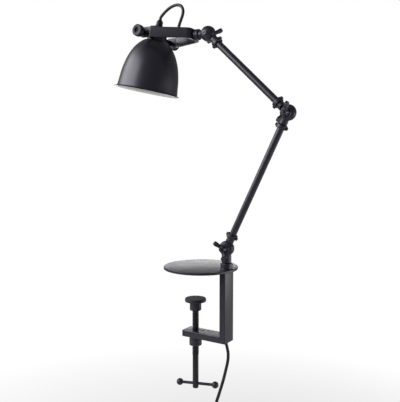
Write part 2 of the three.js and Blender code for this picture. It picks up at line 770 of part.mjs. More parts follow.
// Half the strap's outline seen from above: [along the neck, across], outside then inside.
function yokeSide() {
  const bend = 5;
  const splay = Math.atan2(YOKE_TAB_HALF - YOKE_BACK_HALF, YOKE_SHOULDER - YOKE_START - bend);
  const tabEnd = YOKE_PIVOT + YOKE_HEIGHT / 2;
  const insideBack = YOKE_BACK_HALF - YOKE_THICKNESS / Math.cos(splay) + 1.2;
  const outside = [
    [YOKE_START, 0],
    [YOKE_START, YOKE_BACK_HALF - bend],
    [YOKE_START + 0.3 * bend, YOKE_BACK_HALF - 0.4 * bend],
    [YOKE_START + bend, YOKE_BACK_HALF],
    [YOKE_SHOULDER, YOKE_TAB_HALF],
    [tabEnd, YOKE_TAB_HALF],
  ];
  const inside = [
    [tabEnd, YOKE_TAB_HALF - YOKE_THICKNESS],
    [YOKE_SHOULDER + 1, YOKE_TAB_HALF - YOKE_THICKNESS],
    [YOKE_START + bend + 0.8, insideBack],
    [backInside, YOKE_BACK_HALF - YOKE_THICKNESS - 1.6],
    [backInside, 0],
  ];
  return { outside, inside };
}

function yoke() {
  const { outside, inside } = yokeSide();
  const half = [...outside, ...inside];
  const mirrored = half.map(([along, across]) => [along, -across]).reverse();
  const strapOf = (outline) => plate(outline.map(([along, across]) => [-along, across]), YOKE_HEIGHT);
  const strap = strapOf(half).add(strapOf(mirrored)).rotate([0, 90, 0]);
  const profileHalf = YOKE_HEIGHT / 2;
  const flank = block(
    [-profileHalf, -YOKE_TAB_HALF - 1, 0],
    [profileHalf, YOKE_TAB_HALF + 1, YOKE_PIVOT],
  );
  const tip = alongY(rod(profileHalf, -YOKE_TAB_HALF - 1, YOKE_TAB_HALF + 1, 24));
  const pinBore = alongY(rod(PIN_RADIUS + GAP, -YOKE_TAB_HALF - 1, YOKE_TAB_HALF + 1, 16));
  const nippleBore = rod(NIPPLE_RADIUS + GAP, YOKE_START - 1, backInside + 1);
  const rounded = strap.intersect(flank.add(tip.translate([0, 0, YOKE_PIVOT])));
  return rounded.subtract(pinBore.translate([0, 0, YOKE_PIVOT])).subtract(nippleBore);
}

const headFrame = group(topPivot, ['y', HEAD_LEAN]);
const headRingFrame = group([0, 0, HEAD_RING_START]);
headRingFrame.add(part('head_ring', headRing(), blackMetal));
const yokeFrame = group([0, 0, 0], ['z', YOKE_ROLL]);
yokeFrame.add(part('yoke', yoke(), powderCoat));
headFrame.add(
  part('head_knuckle', headKnuckle(), blackMetal),
  headRingFrame,
  part('swivel_nipple', swivelNipple(), blackMetal),
  part('swivel_nut', swivelNut(), blackMetal),
  yokeFrame,
);
lamp.add(headFrame);

// ---------- shade and lamp ----------

const shadeTop = -CROWN_DROP;
const rimDrop = SHADE_HEIGHT + CROWN_DROP;

// Outer radius and height above the rim, from the skirt to the crown.
function bellOutline() {
  const curve = new THREE.CatmullRomCurve3([
    [SHADE_SKIRT_RADIUS, 3.2],
    [SHADE_SKIRT_RADIUS - 1.2, 12],
    [SHADE_SKIRT_RADIUS - 4.6, 0.371 * SHADE_HEIGHT],
    [SHADE_SKIRT_RADIUS - 11.6, 0.62 * SHADE_HEIGHT],
    [SHADE_SHOULDER_RADIUS, 0.826 * SHADE_HEIGHT],
    [SHADE_TOP_RADIUS + 6, SHADE_HEIGHT - 4],
    [SHADE_TOP_RADIUS, SHADE_HEIGHT],
  ].map(([radius, height]) => new THREE.Vector3(radius, height, 0)), false, 'centripetal');
  return curve.getPoints(7).map((point) => [point.x, point.y]);
}

function shade() {
  const outer = bellOutline();
  const inner = outer.map(([radius, height], i) => {
    const [r0, h0] = outer[Math.max(i - 1, 0)];
    const [r1, h1] = outer[Math.min(i + 1, outer.length - 1)];
    const run = Math.hypot(r1 - r0, h1 - h0);
    const inX = -((h1 - h0) / run) * SHADE_WALL;
    const inY = ((r1 - r0) / run) * SHADE_WALL;
    return [radius + inX, height + inY];
  });
  inner[inner.length - 1] = [SHADE_TOP_RADIUS - 0.5, SHADE_HEIGHT - SHADE_WALL];
  const lip = [
    [SHADE_SKIRT_RADIUS - SHADE_WALL + 0.4, 1.6],
    [SHADE_RIM_RADIUS - 0.7, 0],
    [SHADE_RIM_RADIUS, 0.5],
    [SHADE_RIM_RADIUS - 0.3, 1.3],
    [SHADE_SKIRT_RADIUS + 1.6, 1.9],
  ];
  const holeRadius = HOLDER_RADIUS + 2 * GAP;
  const profile = [
    ...lip,
    ...outer,
    [holeRadius, SHADE_HEIGHT],
    [holeRadius, SHADE_HEIGHT - SHADE_WALL],
    ...inner.reverse(),
  ];
  return turned(profile.map(([radius, height]) => [radius, height - rimDrop]), 40);
}

const capBottom = shadeTop + GAP;

function shadeCap() {
  const roof = CAP_TOP - CAP_WALL;
  const inside = CAP_RADIUS - CAP_WALL;
  const body = turned([
    [GRIP_RADIUS + GAP, roof],
    [inside - 2.5, roof],
    [inside, roof - 2.5],
    [inside, capBottom],
    [CAP_RADIUS, capBottom],
    [CAP_RADIUS, CAP_TOP - 4],
    [CAP_RADIUS - 1.2, CAP_TOP - 1.2],
    [CAP_RADIUS - 4, CAP_TOP],
    [GRIP_RADIUS + GAP, CAP_TOP],
  ], 24);
  return body.subtract(alongY(rod(PIN_RADIUS + GAP, -CAP_RADIUS - 1, CAP_RADIUS + 1, 12)));
}

// The grip screws through the cap into the lampholder and squeezes the lead.
const gripSeat = CAP_TOP + GAP;
const gripTip = gripSeat + GRIP_LENGTH;
const nippleBottom = HOLDER_TOP - 6;

function cordGrip() {
  return turned([
    [CORD_RADIUS + GAP, nippleBottom + GAP],
    [GRIP_RADIUS, nippleBottom + GAP],
    [GRIP_RADIUS, gripSeat],
    [GRIP_FLANGE_RADIUS, gripSeat],
    [GRIP_FLANGE_RADIUS, gripSeat + 2],
    [GRIP_FLANGE_RADIUS - 1, gripSeat + 3],
    [GRIP_NUT_RADIUS, gripSeat + 3],
    [GRIP_NUT_RADIUS, gripTip - 6],
    [GRIP_NUT_RADIUS - 1, gripTip - 2.5],
    [GRIP_RADIUS - 1, gripTip],
    [CORD_RADIUS + GAP, gripTip],
  ], 16);
}

function lampholder() {
  const edge = 1.5;
  return turned([
    [0, HOLDER_MOUTH + SOCKET_DEPTH],
    [SOCKET_RADIUS, HOLDER_MOUTH + SOCKET_DEPTH],
    [SOCKET_RADIUS, HOLDER_MOUTH],
    [HOLDER_RADIUS - edge, HOLDER_MOUTH],
    [HOLDER_RADIUS, HOLDER_MOUTH + edge],
    [HOLDER_RADIUS, HOLDER_TOP - edge],
    [HOLDER_RADIUS - edge, HOLDER_TOP],
    [GRIP_RADIUS + GAP, HOLDER_TOP],
    [GRIP_RADIUS + GAP, nippleBottom],
    [0, nippleBottom],
  ]);
}

const plateUnderside = shadeTop - SHADE_WALL;

function shadeRing() {
  const top = plateUnderside - GAP;
  return turned([
    [HOLDER_RADIUS + GAP, top],
    [HOLDER_RADIUS + GAP, top - SHADE_RING_HEIGHT],
    [SHADE_RING_RADIUS, top - SHADE_RING_HEIGHT],
    [SHADE_RING_RADIUS, top],
  ], 24);
}

function bulbCap() {
  const tip = HOLDER_MOUTH + SOCKET_DEPTH - GAP;
  return turned([
    [0, tip],
    [3, tip],
    [BULB_CAP_RADIUS, tip - 4],
    [BULB_CAP_RADIUS, HOLDER_MOUTH + GAP],
    [0, HOLDER_MOUTH + GAP],
  ], 16);
}

function bulbGlass() {
  const centre = HOLDER_MOUTH - BULB_LENGTH + BULB_RADIUS;
  const profile = [[0, HOLDER_MOUTH], [BULB_CAP_RADIUS, HOLDER_MOUTH], [9.5, HOLDER_MOUTH - 4]];
  const steps = 8;
  const first = 52;
  for (let i = 0; i <= steps; i += 1) {
    const angle = THREE.MathUtils.degToRad(first - ((first + 90) * i) / steps);
    const radius = i === steps ? 0 : BULB_RADIUS * Math.cos(angle);
    profile.push([radius, centre + BULB_RADIUS * Math.sin(angle)]);
  }
  return turned(profile, 20);
}

// A pivot pin: a tail in the cap's wall, a spacer, and a tail through the yoke into the knob.
const knobStart = YOKE_TAB_HALF + GAP;
const knobFace = knobStart + KNOB_NECK_LENGTH + KNOB_LENGTH;
const pinEnd = knobFace - KNOB_RECESS_DEPTH - 2;

function pivotPin() {
  const spacerEnd = YOKE_TAB_HALF - YOKE_THICKNESS - GAP;
  return turned([
    [0, CAP_RADIUS - CAP_WALL - 1],
    [PIN_RADIUS, CAP_RADIUS - CAP_WALL - 1],
    [PIN_RADIUS, CAP_RADIUS + GAP],
    [SPACER_RADIUS, CAP_RADIUS + GAP],
    [SPACER_RADIUS, spacerEnd],
    [PIN_RADIUS, spacerEnd],
    [PIN_RADIUS, pinEnd],
    [0, pinEnd],
  ], 16);
}

function pivotKnob() {
  const bodyStart = knobStart + KNOB_NECK_LENGTH;
  const edge = 2;
  return turned([
    [PIN_RADIUS + GAP, knobStart],
    [KNOB_NECK_RADIUS, knobStart],
    [KNOB_NECK_RADIUS, bodyStart - 1],
    [KNOB_RADIUS - edge, bodyStart],
    [KNOB_RADIUS, bodyStart + edge],
    [KNOB_RADIUS, knobFace - edge],
    [KNOB_RADIUS - edge, knobFace],
    [KNOB_RECESS_RADIUS, knobFace],
    [KNOB_RECESS_RADIUS - 0.5, knobFace - KNOB_RECESS_DEPTH],
    [0, knobFace - KNOB_RECESS_DEPTH],
    [0, pinEnd + GAP],
    [PIN_RADIUS + GAP, pinEnd + GAP],
  ]);
}

const shadeFrame = group([0, 0, YOKE_PIVOT], ['y', 90 + SHADE_TILT]);
shadeFrame.add(
  part('shade', shade(), powderCoat),
  part('shade_cap', shadeCap(), powderCoat),
  part('cord_grip', cordGrip(), blackPlastic),
  part('lampholder', lampholder(), blackPlastic),
  part('shade_ring', shadeRing(), blackPlastic),
  part('bulb_cap', bulbCap(), brightSteel),
  part('bulb_glass', bulbGlass(), opalGlass),
);
for (const [label, side] of [['near', -1], ['far', 1]]) {
  shadeFrame.add(part(`${label}_pivot_pin`, alongY(pivotPin(), side), blackMetal));
  shadeFrame.add(part(`${label}_pivot_knob`, alongY(pivotKnob(), side), blackMetal));
}
yokeFrame.add(shadeFrame);

// ---------- loop of lead from the head to the shade ----------

// Points in the yoke's frame: [above the neck line, along the neck].
const tiltAngle = THREE.MathUtils.degToRad(SHADE_TILT);
const alongGrip = (height) => [
  height * Math.cos(tiltAngle),
  YOKE_PIVOT - height * Math.sin(tiltAngle),
];
const loopPoints = [
  alongGrip(gripTip + GAP),
  alongGrip(gripTip + 5),
  [47, 117],
  [54.8, 107.8],
  [60.8, 97.6],
  [63.8, 87.2],
  [63.6, 77.4],
  [59.6, 69.8],
  [51.6, 65.6],
  [42.2, 66],
  [33.2, 69],
  [24.2, 72],
  [15.4, 73.8],
  [7.8, 72.2],
  [2.6, 66.2],
  [0.2, 57.4],
  [0, NIPPLE_TAIL + GAP],
].map(([above, along]) => new THREE.Vector3(above, 0, along));
yokeFrame.add(part('loop_lead', cordTube(loopPoints, CORD_RADIUS, 30), cordBlack));

// ---------- mains lead, switch, coil and plug ----------

const cordDiameter = 2 * CORD_RADIUS;
const coilHalf = (COIL_LAYERS * cordDiameter) / 2;
const outerTurn = COIL_MEAN_RADIUS + cordDiameter;

// A point on the coil's outer layer, at an angle clockwise from the top.
function onOuterTurn(degrees, across = 0, grow = 0) {
  const angle = THREE.MathUtils.degToRad(degrees);
  const radius = outerTurn + grow;
  return new THREE.Vector3(
    COIL_CENTRE.x + radius * Math.sin(angle),
    COIL_CENTRE.y + across,
    COIL_CENTRE.z + radius * Math.cos(angle),
  );
}

// The lead drops from the bar, swings towards the user and comes to the switch.
const mainsPoints = [
  [BAR_X, 0, -FRAME_DROP + BUSH_HEIGHT + 8],
  [BAR_X, 0, -FRAME_DROP],
  [BAR_X + 0.4, 0, -FRAME_DROP - 4],
  [62.8, -0.3, -152.9],
  [65.8, -1, -163.6],
  [66.9, -2.2, -174.1],
  [66.4, -4.2, -185.2],
  [65, -6.8, -196],
  [63.8, -9.8, -206.5],
  [62.6, -13.2, -216.8],
  [61.2, -16.8, -226.9],
  [59.3, -20.6, -237.8],
  [57.2, -24, -248.8],
  [54.7, -26.8, -260],
  [53, -28.4, -275],
  [51.6, LEAD_Y, -292],
  [SWITCH_CENTRE.x, LEAD_Y, SWITCH_CENTRE.z + SWITCH_LENGTH / 2],
  [SWITCH_CENTRE.x, LEAD_Y, SWITCH_CENTRE.z],
  [SWITCH_CENTRE.x, LEAD_Y, SWITCH_CENTRE.z - SWITCH_LENGTH / 2],
  [SWITCH_CENTRE.x, LEAD_Y, -380],
].map((point) => new THREE.Vector3(...point));
const coilEntry = onOuterTurn(COIL_START, -cordDiameter, 2 * CORD_RADIUS + 2 * GAP);
mainsPoints.push(coilEntry);

function cordCoil() {
  return alongY(turned([
    [COIL_MEAN_RADIUS - coilHalf, -coilHalf],
    [COIL_MEAN_RADIUS + coilHalf, -coilHalf],
    [COIL_MEAN_RADIUS + coilHalf, coilHalf],
    [COIL_MEAN_RADIUS - coilHalf, coilHalf],
  ], 32));
}

function coilTie() {
  const inner = coilHalf + GAP;
  const outer = inner + TIE_WALL;
  const bead = block([-TIE_LENGTH / 2, -outer, -outer], [TIE_LENGTH / 2, outer, outer]);
  return bead.subtract(block([-TIE_LENGTH, -inner, -inner], [TIE_LENGTH, inner, inner]));
}

function cordSwitch() {
  const half = SWITCH_LENGTH / 2;
  const body = roundedBar(SWITCH_WIDTH, SWITCH_DEPTH, -half, half, 5);
  const bore = rod(CORD_RADIUS + GAP, -half - 1, half + 1, 16);
  const well = block(
    [-ROCKER_WIDTH / 2 - GAP, -SWITCH_DEPTH, -ROCKER_LENGTH / 2 - GAP],
    [ROCKER_WIDTH / 2 + GAP, -SWITCH_DEPTH / 2 + ROCKER_DEPTH, ROCKER_LENGTH / 2 + GAP],
  );
  return body.subtract(bore).subtract(well);
}

// The rocker's face and back are shallow Vs: one end stands proud, and there is room to rock.
function switchRocker() {
  const half = ROCKER_LENGTH / 2;
  const back = ROCKER_DEPTH - GAP;
  const outline = [
    [-half, back - ROCKER_PROUD],
    [-half, -ROCKER_PROUD],
    [0, -0.6],
    [half, -0.4],
    [half, back],
    [0, back],
  ];
  const rocker = plate(outline, ROCKER_WIDTH);
  return rocker.rotate([0, -90, 0]);
}

function plugBody() {
  const body = roundedBar(PLUG_WIDTH, PLUG_DEPTH, -PLUG_LENGTH, -8, 5);
  const shoulder = turned([
    [0, -12],
    [PLUG_DEPTH / 2 - 0.5, -12],
    [CORD_RADIUS + 1.6, 0],
    [0, 0],
  ], 24);
  const pinHoles = [-1, 1].map((side) => (
    rod(PLUG_PIN_RADIUS + GAP, -PLUG_LENGTH - 1, -PLUG_LENGTH + 10, 14)
      .translate([(side * PLUG_PIN_SPACING) / 2, 0, 0])
  ));
  return body.add(shoulder).subtract(pinHoles[0]).subtract(pinHoles[1]);
}

function plugPin() {
  return turned([
    [0, -PLUG_LENGTH + 10 - GAP],
    [PLUG_PIN_RADIUS, -PLUG_LENGTH + 10 - GAP],
    [PLUG_PIN_RADIUS, -PLUG_LENGTH - PLUG_PIN_LENGTH + 1.5],
    [PLUG_PIN_RADIUS - 1, -PLUG_LENGTH - PLUG_PIN_LENGTH],
    [0, -PLUG_LENGTH - PLUG_PIN_LENGTH],
  ], 14);
}

const coilFrame = group(COIL_CENTRE.toArray());
coilFrame.add(part('cord_coil', cordCoil(), cordBlack));
const tieFrame = group([COIL_CENTRE.x, COIL_CENTRE.y, COIL_CENTRE.z + COIL_MEAN_RADIUS]);
tieFrame.add(part('coil_tie', coilTie(), blackPlastic));
const switchFrame = group(SWITCH_CENTRE.toArray());
switchFrame.add(part('cord_switch', cordSwitch(), blackPlastic));
const rockerFrame = group([SWITCH_CENTRE.x, LEAD_Y - SWITCH_DEPTH / 2, SWITCH_CENTRE.z]);
rockerFrame.add(part('switch_rocker', switchRocker(), blackPlastic));

// The plug hangs from the coil's outer turn, straight below its right-hand side.
const tailX = COIL_CENTRE.x + outerTurn + 2 * CORD_RADIUS + 2 * GAP;
const tailY = COIL_CENTRE.y + cordDiameter;
const plugX = tailX - 1.4;
const plugTop = COIL_CENTRE.z - PLUG_DROP;
const tailPoints = [
  [tailX, COIL_CENTRE.z],
  [tailX - 0.2, COIL_CENTRE.z - 14],
  [plugX + 0.3, COIL_CENTRE.z - 28],
  [plugX, plugTop + GAP],
].map(([x, z]) => new THREE.Vector3(x, tailY, z));
const plugFrame = group([plugX, tailY, plugTop]);
plugFrame.add(part('plug_body', plugBody(), blackPlastic));
[-1, 1].forEach((side) => {
  const pinFrame = group([(side * PLUG_PIN_SPACING) / 2, 0, 0]);
  pinFrame.add(part(side < 0 ? 'plug_pin_left' : 'plug_pin_right', plugPin(), brightSteel));
  plugFrame.add(pinFrame);
});

lamp.add(
  part('mains_lead', cordTube(mainsPoints, CORD_RADIUS, 34), cordBlack),
  part('plug_tail', cordTube(tailPoints, CORD_RADIUS, 6), cordBlack),
  coilFrame,
  tieFrame,
  switchFrame,
  rockerFrame,
  plugFrame,
);

export default lamp;
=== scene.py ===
"""Looks of a clamp-on architect desk lamp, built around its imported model. The row frame is in metres, +Z up.

Pieces are shaped in millimetres at the origin and then put in place, so the sizes below read as on a drawing.
"""

import json
from math import acos, cos, hypot, pi, radians, sin, sqrt, tan

import bpy
from mathutils import Matrix, Vector
from mathutils.geometry import interpolate_bezier


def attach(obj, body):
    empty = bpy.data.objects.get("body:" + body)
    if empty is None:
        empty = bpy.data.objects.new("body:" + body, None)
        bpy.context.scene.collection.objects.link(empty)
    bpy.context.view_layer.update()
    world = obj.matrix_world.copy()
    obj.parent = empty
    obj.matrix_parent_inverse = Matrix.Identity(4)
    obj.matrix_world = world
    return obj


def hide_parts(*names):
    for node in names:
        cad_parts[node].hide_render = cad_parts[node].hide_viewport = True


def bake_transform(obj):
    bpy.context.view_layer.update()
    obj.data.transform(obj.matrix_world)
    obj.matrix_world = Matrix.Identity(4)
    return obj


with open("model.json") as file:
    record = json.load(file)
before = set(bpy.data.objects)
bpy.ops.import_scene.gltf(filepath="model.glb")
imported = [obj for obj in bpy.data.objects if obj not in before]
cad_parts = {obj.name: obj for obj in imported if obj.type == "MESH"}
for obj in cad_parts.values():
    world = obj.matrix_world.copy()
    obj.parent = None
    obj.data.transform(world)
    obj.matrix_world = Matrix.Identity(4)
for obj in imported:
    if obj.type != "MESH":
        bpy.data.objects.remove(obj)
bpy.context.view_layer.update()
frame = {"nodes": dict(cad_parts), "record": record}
record = frame["record"]
behaviour = record["behaviour"]
body_of = {node: body for body, nodes in behaviour["bodies"].items() for node in nodes}
joint = {entry["name"]: entry for entry in behaviour["joints"]}

MM = 0.001
UP = Vector((0, 0, 1))
EDGE_LINE = Vector((0, 1, 0))  # the table edge, and the axis of every arm hinge

# ---------- sizes, in millimetres ----------

GAP = 0.3  # clearance between pieces that fit in one another
FRAME_WIDTH, FRAME_DEPTH, FRAME_WALL, FRAME_DROP = 34, 13, 2, 144
FRAME_EDGE, HOLLOW_EDGE, ARM_END_X = 1.3, 0.8, -35.5
CAP_FLANGE, CAP_DEPTH = 1.5, 7
BOSS, BOSS_DROP = 13, 19
DISC_RADIUS, DISC_THICKNESS, DISC_EDGE = 76, 5, 0.9
GROOVE_INSIDE, GROOVE_OUTSIDE, GROOVE_DEPTH = 48, 49.5, 0.6
COLLAR_TOP, POST_TOP = 12.5, 24.5
POST, WIRE = 6, 3.6  # radii of the post and of the way for the wires
TABLE_UNDERSIDE, PAD, PAD_FACE = -64, 22, 1.6
SCREW, SHANK, SCREW_TIP, SCREW_END = 7, 6.2, -71.3, -255
THREAD_TOP, THREAD_END, THREAD_PITCH = -89.3, -183.3, 3
THREAD_ROOT, THREAD_CREST = 5.9, 6.95
TOMMY, TOMMY_BALL, TOMMY_HALF, TOMMY_SHIFT, TOMMY_Z = 3, 7.2, 38, 4, -245.5
BALL, DOME, CROWN = 15.2, 15.0, 6.0  # knuckle radius, dome height, and the flat under the bolt head
DOME_FOOT, HALF_GAP = 1.5, 0.15  # the dome's straight foot, and half the gap between two knuckle halves
HUB_SEAT = 11.3
NECK, NECK_END, SPIGOT_LENGTH = 8.0, 23.7, 17
STEM_NECK, STEM_NECK_END, LOCK_SCREW_Z = 9.7, 28.7, 22.2
TUBE, TUBE_WALL, SET_SCREW_HOLE = 6.8, 1.5, 2.1
RING, RING_START, RING_LENGTH, RING_EDGE = 10.75, 24.0, 8.0, 0.8
HEAD_RING_START, HEAD_RING_LENGTH, HEAD_NECK_END = 20.5, 10, 28.8
NIPPLE, NIPPLE_START, NIPPLE_TAIL = 5, 16, 47.3
NUT_START, NUT_HEIGHT, NUT_RADIUS = 35.6, 6, 9.5
BOLT, BOLT_TAIL = 2.5, 24.5
WING_LEANS = {"lower": -45, "elbow": 29, "top": 57}  # degrees from upright
EAR_MIDDLE, EAR_RADIUS, EAR_THICKNESS = (15.5, 12.5), 5, 5.6
YOKE_THICKNESS, YOKE_HEIGHT, YOKE_PIVOT, YOKE_BEND = 4, 20.4, 127.3, 8.5
YOKE_BACK_CORNER, YOKE_SHOULDER = (33.3, 17.4), (108.7, 46.5)  # (along the neck, across)
KNOB_START, KNOB_LENGTH, KNOB_RADIUS = 48.8, 18.5, 11.8
PIN, PIN_START, PIN_END, SPACER = 3, 17, 62.3, 5.5
SHADE_TILT = radians(8)
RIM_DROP, SHADE_HEIGHT, SHADE_WALL = 113.4, 106.5, 1.2
SHADE_RADIUS, SHADE_HOLE = 70, 14.6
CAP, CAP_TOP = 20, 22
HOLDER, HOLDER_TOP, HOLDER_MOUTH = 14, 14, -49
BULB, BULB_CENTRE = 22.5, -78
LEAD = 3.1  # radius of the mains lead
LEAD_Y = -29  # where the lead hangs when it reaches the switch
SWITCH_X, SWITCH_Z = 51, -338
SWITCH_SIZE, SWITCH_SCREW = (24, 17, 58), 22
PLUG_X, PLUG_Y, PLUG_Z = 49.6, -16.6, -434
PLUG_SIZE, PLUG_LENGTH = (26, 14), 36
PLUG_PIN, PLUG_PIN_SPACING, PLUG_PIN_LENGTH = 2, 19, 19

# ---------- where things are ----------


def frame_at(origin, along, across):
    """A frame with Z along one direction and Y as near another as it can be."""
    z = Vector(along).normalized()
    y = Vector(across)
    y = (y - z * y.dot(z)).normalized()
    matrix = Matrix((y.cross(z), y, z)).transposed().to_4x4()
    matrix.translation = Vector(origin)
    return matrix


def shifted(where, x=0.0, y=0.0, z=0.0):
    """A frame moved along its own axes, by millimetres."""
    return where @ Matrix.Translation(Vector((x, y, z)) * MM)


def turned_about(where, axis, degrees):
    """A frame turned about one of its own axes."""
    return where @ Matrix.Rotation(radians(degrees), 4, axis)


lower_pivot = Vector(joint["lower_hinge"]["pos_m"])
elbow_pivot = Vector(joint["elbow_hinge"]["pos_m"])
top_pivot = Vector(joint["top_hinge"]["pos_m"])
neck_line = Vector(joint["head_swivel"]["axis"])
tilt_line = -Vector(joint["shade_tilt"]["axis"])
tommy_line = Vector(joint["tommy_slide"]["axis"])
screw_x = joint["screw_turn"]["pos_m"][0]

world_place = Matrix.Identity(4)
bar_place = frame_at((lower_pivot.x, 0, 0), UP, EDGE_LINE)
screw_line = frame_at((screw_x, 0, 0), UP, EDGE_LINE)
screw_place = frame_at((screw_x, 0, 0), UP, UP.cross(tommy_line))
tommy_place = frame_at((screw_x, 0, TOMMY_Z * MM), tommy_line, UP)
stem_place = frame_at(lower_pivot, -UP, EDGE_LINE)
arm_ends = {}
for arm, (first, last) in {
    "lower_arm": (lower_pivot, elbow_pivot),
    "upper_arm": (elbow_pivot, top_pivot),
}.items():
    arm_ends[arm] = (
        frame_at(first, last - first, EDGE_LINE),
        frame_at(last, first - last, -EDGE_LINE),
        (last - first).length / MM,
    )
head_place = frame_at(top_pivot, neck_line, EDGE_LINE)
yoke_place = frame_at(top_pivot, neck_line, tilt_line)
yoke_up = yoke_place.col[0].to_3d()
shade_line = yoke_up * cos(SHADE_TILT) - neck_line * sin(SHADE_TILT)
shade_place = frame_at(yoke_place @ Vector((0, 0, YOKE_PIVOT * MM)), shade_line, tilt_line)
switch_place = frame_at(Vector((SWITCH_X, LEAD_Y, SWITCH_Z)) * MM, UP, EDGE_LINE)
plug_place = frame_at(Vector((PLUG_X, PLUG_Y, PLUG_Z)) * MM, UP, EDGE_LINE)

# ---------- camera ----------

CAMERA_PLACE = (0.6184, -0.9535, 0.2248)
CAMERA_TILT, CAMERA_TURN = 85.65, 33.05  # degrees up from straight down, and round the vertical
SENSOR_WIDTH, LENS_LENGTH = 36, 50.4

bpy.ops.object.camera_add(location=CAMERA_PLACE)
camera = bpy.context.object
camera.rotation_euler = (radians(CAMERA_TILT), 0, radians(CAMERA_TURN))
camera.data.sensor_fit = "HORIZONTAL"
camera.data.sensor_width = SENSOR_WIDTH
camera.data.lens = LENS_LENGTH
bpy.context.scene.camera = camera

# ---------- finishes ----------


class Socket:
    """A shader socket that takes part in Python sums. Each sum adds its Math node."""

    def __init__(self, bench, output):
        self.bench = bench
        self.output = output

    def sum(self, operation, first, second):
        return self.bench.add("ShaderNodeMath", {"operation": operation}, {0: first, 1: second})

    def __add__(self, other):
        return self.sum("ADD", self, other)

    def __radd__(self, other):
        return self.sum("ADD", other, self)

    def __sub__(self, other):
        return self.sum("SUBTRACT", self, other)

    def __rsub__(self, other):
        return self.sum("SUBTRACT", other, self)

    def __mul__(self, other):
        return self.sum("MULTIPLY", self, other)

    def __rmul__(self, other):
        return self.sum("MULTIPLY", other, self)

    def __truediv__(self, other):
        return self.sum("DIVIDE", self, other)

    def __rtruediv__(self, other):
        return self.sum("DIVIDE", other, self)


class Bench:
    """The node tree of one finish."""

    def __init__(self, tree):
        self.tree = tree
        tree.nodes.clear()

    def add(self, kind, settings=None, sockets=None, output=0):
        """Adds a node: its settings first, then its sockets' values or links. Returns one output."""
        node = self.tree.nodes.new(kind)
        for key, value in (settings or {}).items():
            if key == "stops":
                ramp = node.color_ramp
                while len(ramp.elements) < len(value):
                    ramp.elements.new(0.5)
                for element, (position, shade) in zip(ramp.elements, value):
                    element.position = position
                    element.color = (shade, shade, shade, 1)
            else:
                setattr(node, key, value)
        for key, value in (sockets or {}).items():
            if isinstance(value, Socket):
                self.tree.links.new(value.output, node.inputs[key])
            else:
                node.inputs[key].default_value = value
        return Socket(self, node.outputs[output]) if node.outputs else None

    def place(self, stretch=(1, 1, 1)):
        """The point on the piece, in its own coordinates, stretched along its axes."""
        point = self.add("ShaderNodeTexCoord", output="Object")
        if stretch == (1, 1, 1):
            return point
        return self.add("ShaderNodeMapping", {}, {"Vector": point, "Scale": stretch})

    def noise(self, scale, detail=3, rough=0.5, stretch=(1, 1, 1), distortion=0.0):
        return self.add("ShaderNodeTexNoise", {}, {
            "Vector": self.place(stretch), "Scale": scale, "Detail": detail, "Roughness": rough,
            "Distortion": distortion,
        })

    def ramp(self, factor, *stops):
        """Greys between stops of (position, grey)."""
        return self.add("ShaderNodeValToRGB", {"stops": stops}, {"Fac": factor})

    def blend(self, factor, first, second):
        """One colour fading into another."""
        colours = {"data_type": "RGBA"}, {0: factor, 6: (*first, 1), 7: (*second, 1)}
        return self.add("ShaderNodeMix", *colours, output=2)

    def bump(self, height, depth, strength):
        return self.add("ShaderNodeBump", {}, {"Height": height, "Distance": depth, "Strength": strength})


def finish(name, surface):
    """A material whose surface function returns what goes into the shader's sockets."""
    material = bpy.data.materials.new(name)
    material.use_nodes = True
    bench = Bench(material.node_tree)
    shader = bench.add("ShaderNodeBsdfPrincipled", {}, surface(bench), output="BSDF")
    bench.add("ShaderNodeOutputMaterial", {}, {"Surface": shader})
    return material


# the black finishes reflect blue a little better than red and green
COOL_SHEEN = (0.91, 0.895, 1.0, 1.0)


def coated(colour, light, rough, peel, peel_scale, spread=0.07, shine=0.66):
    """Paint or moulded plastic: a grained skin with cloudy gloss and a few rubbed, lighter places.

    The grain is peel metres deep. The roughness wanders by spread.
    """

    def surface(bench):
        cloud = bench.noise(38, 4, 0.6)
        rubbed = bench.ramp(bench.noise(160, 5, 0.65, distortion=0.6), (0.58, 0.0), (0.78, 1.0))
        grain = bench.noise(peel_scale, 2, 0.5)
        fine = bench.noise(peel_scale * 3.1, 1, 0.4)
        return {
            "Base Color": bench.blend(rubbed * 0.5 + (cloud - 0.5) * 0.5, colour, light),
            "Roughness": rough + (cloud - 0.5) * spread * 2 - rubbed * 0.05,
            "Normal": bench.bump(grain + fine * 0.35, peel, 0.6),
            "Specular IOR Level": shine,
            "Specular Tint": COOL_SHEEN,
        }

    return surface


def polished(colour, rough, stretch):
    """Bare metal with fine marks of turning along one direction."""

    def surface(bench):
        marks = bench.noise(900, 3, 0.6, stretch)
        stain = bench.noise(45, 4, 0.6)
        return {
            "Base Color": bench.blend(stain, colour, tuple(c * 0.72 for c in colour)),
            "Metallic": 1.0,
            "Roughness": rough + (marks - 0.5) * 0.16 + (stain - 0.5) * 0.1,
            "Normal": bench.bump(marks, 0.00002, 0.4),
        }

    return surface


def enamelled(bench):
    """The white inside of the shade."""
    cloud = bench.noise(30, 3)
    return {
        "Base Color": bench.blend(cloud, (0.86, 0.86, 0.84), (0.80, 0.80, 0.77)),
        "Roughness": 0.38 + (cloud - 0.5) * 0.1,
        "Normal": bench.bump(bench.noise(800, 2), 0.00004, 0.5),
    }


def opal(bench):
    """Milky glass with a clear skin."""
    cloud = bench.noise(26, 2)
    return {
        "Base Color": bench.blend(cloud, (0.90, 0.89, 0.86), (0.86, 0.85, 0.81)),
        "Roughness": 0.16 + (cloud - 0.5) * 0.05,
        "Normal": bench.bump(cloud, 0.0001, 0.2),
        "Coat Weight": 0.5,
        "Coat Roughness": 0.05,
    }


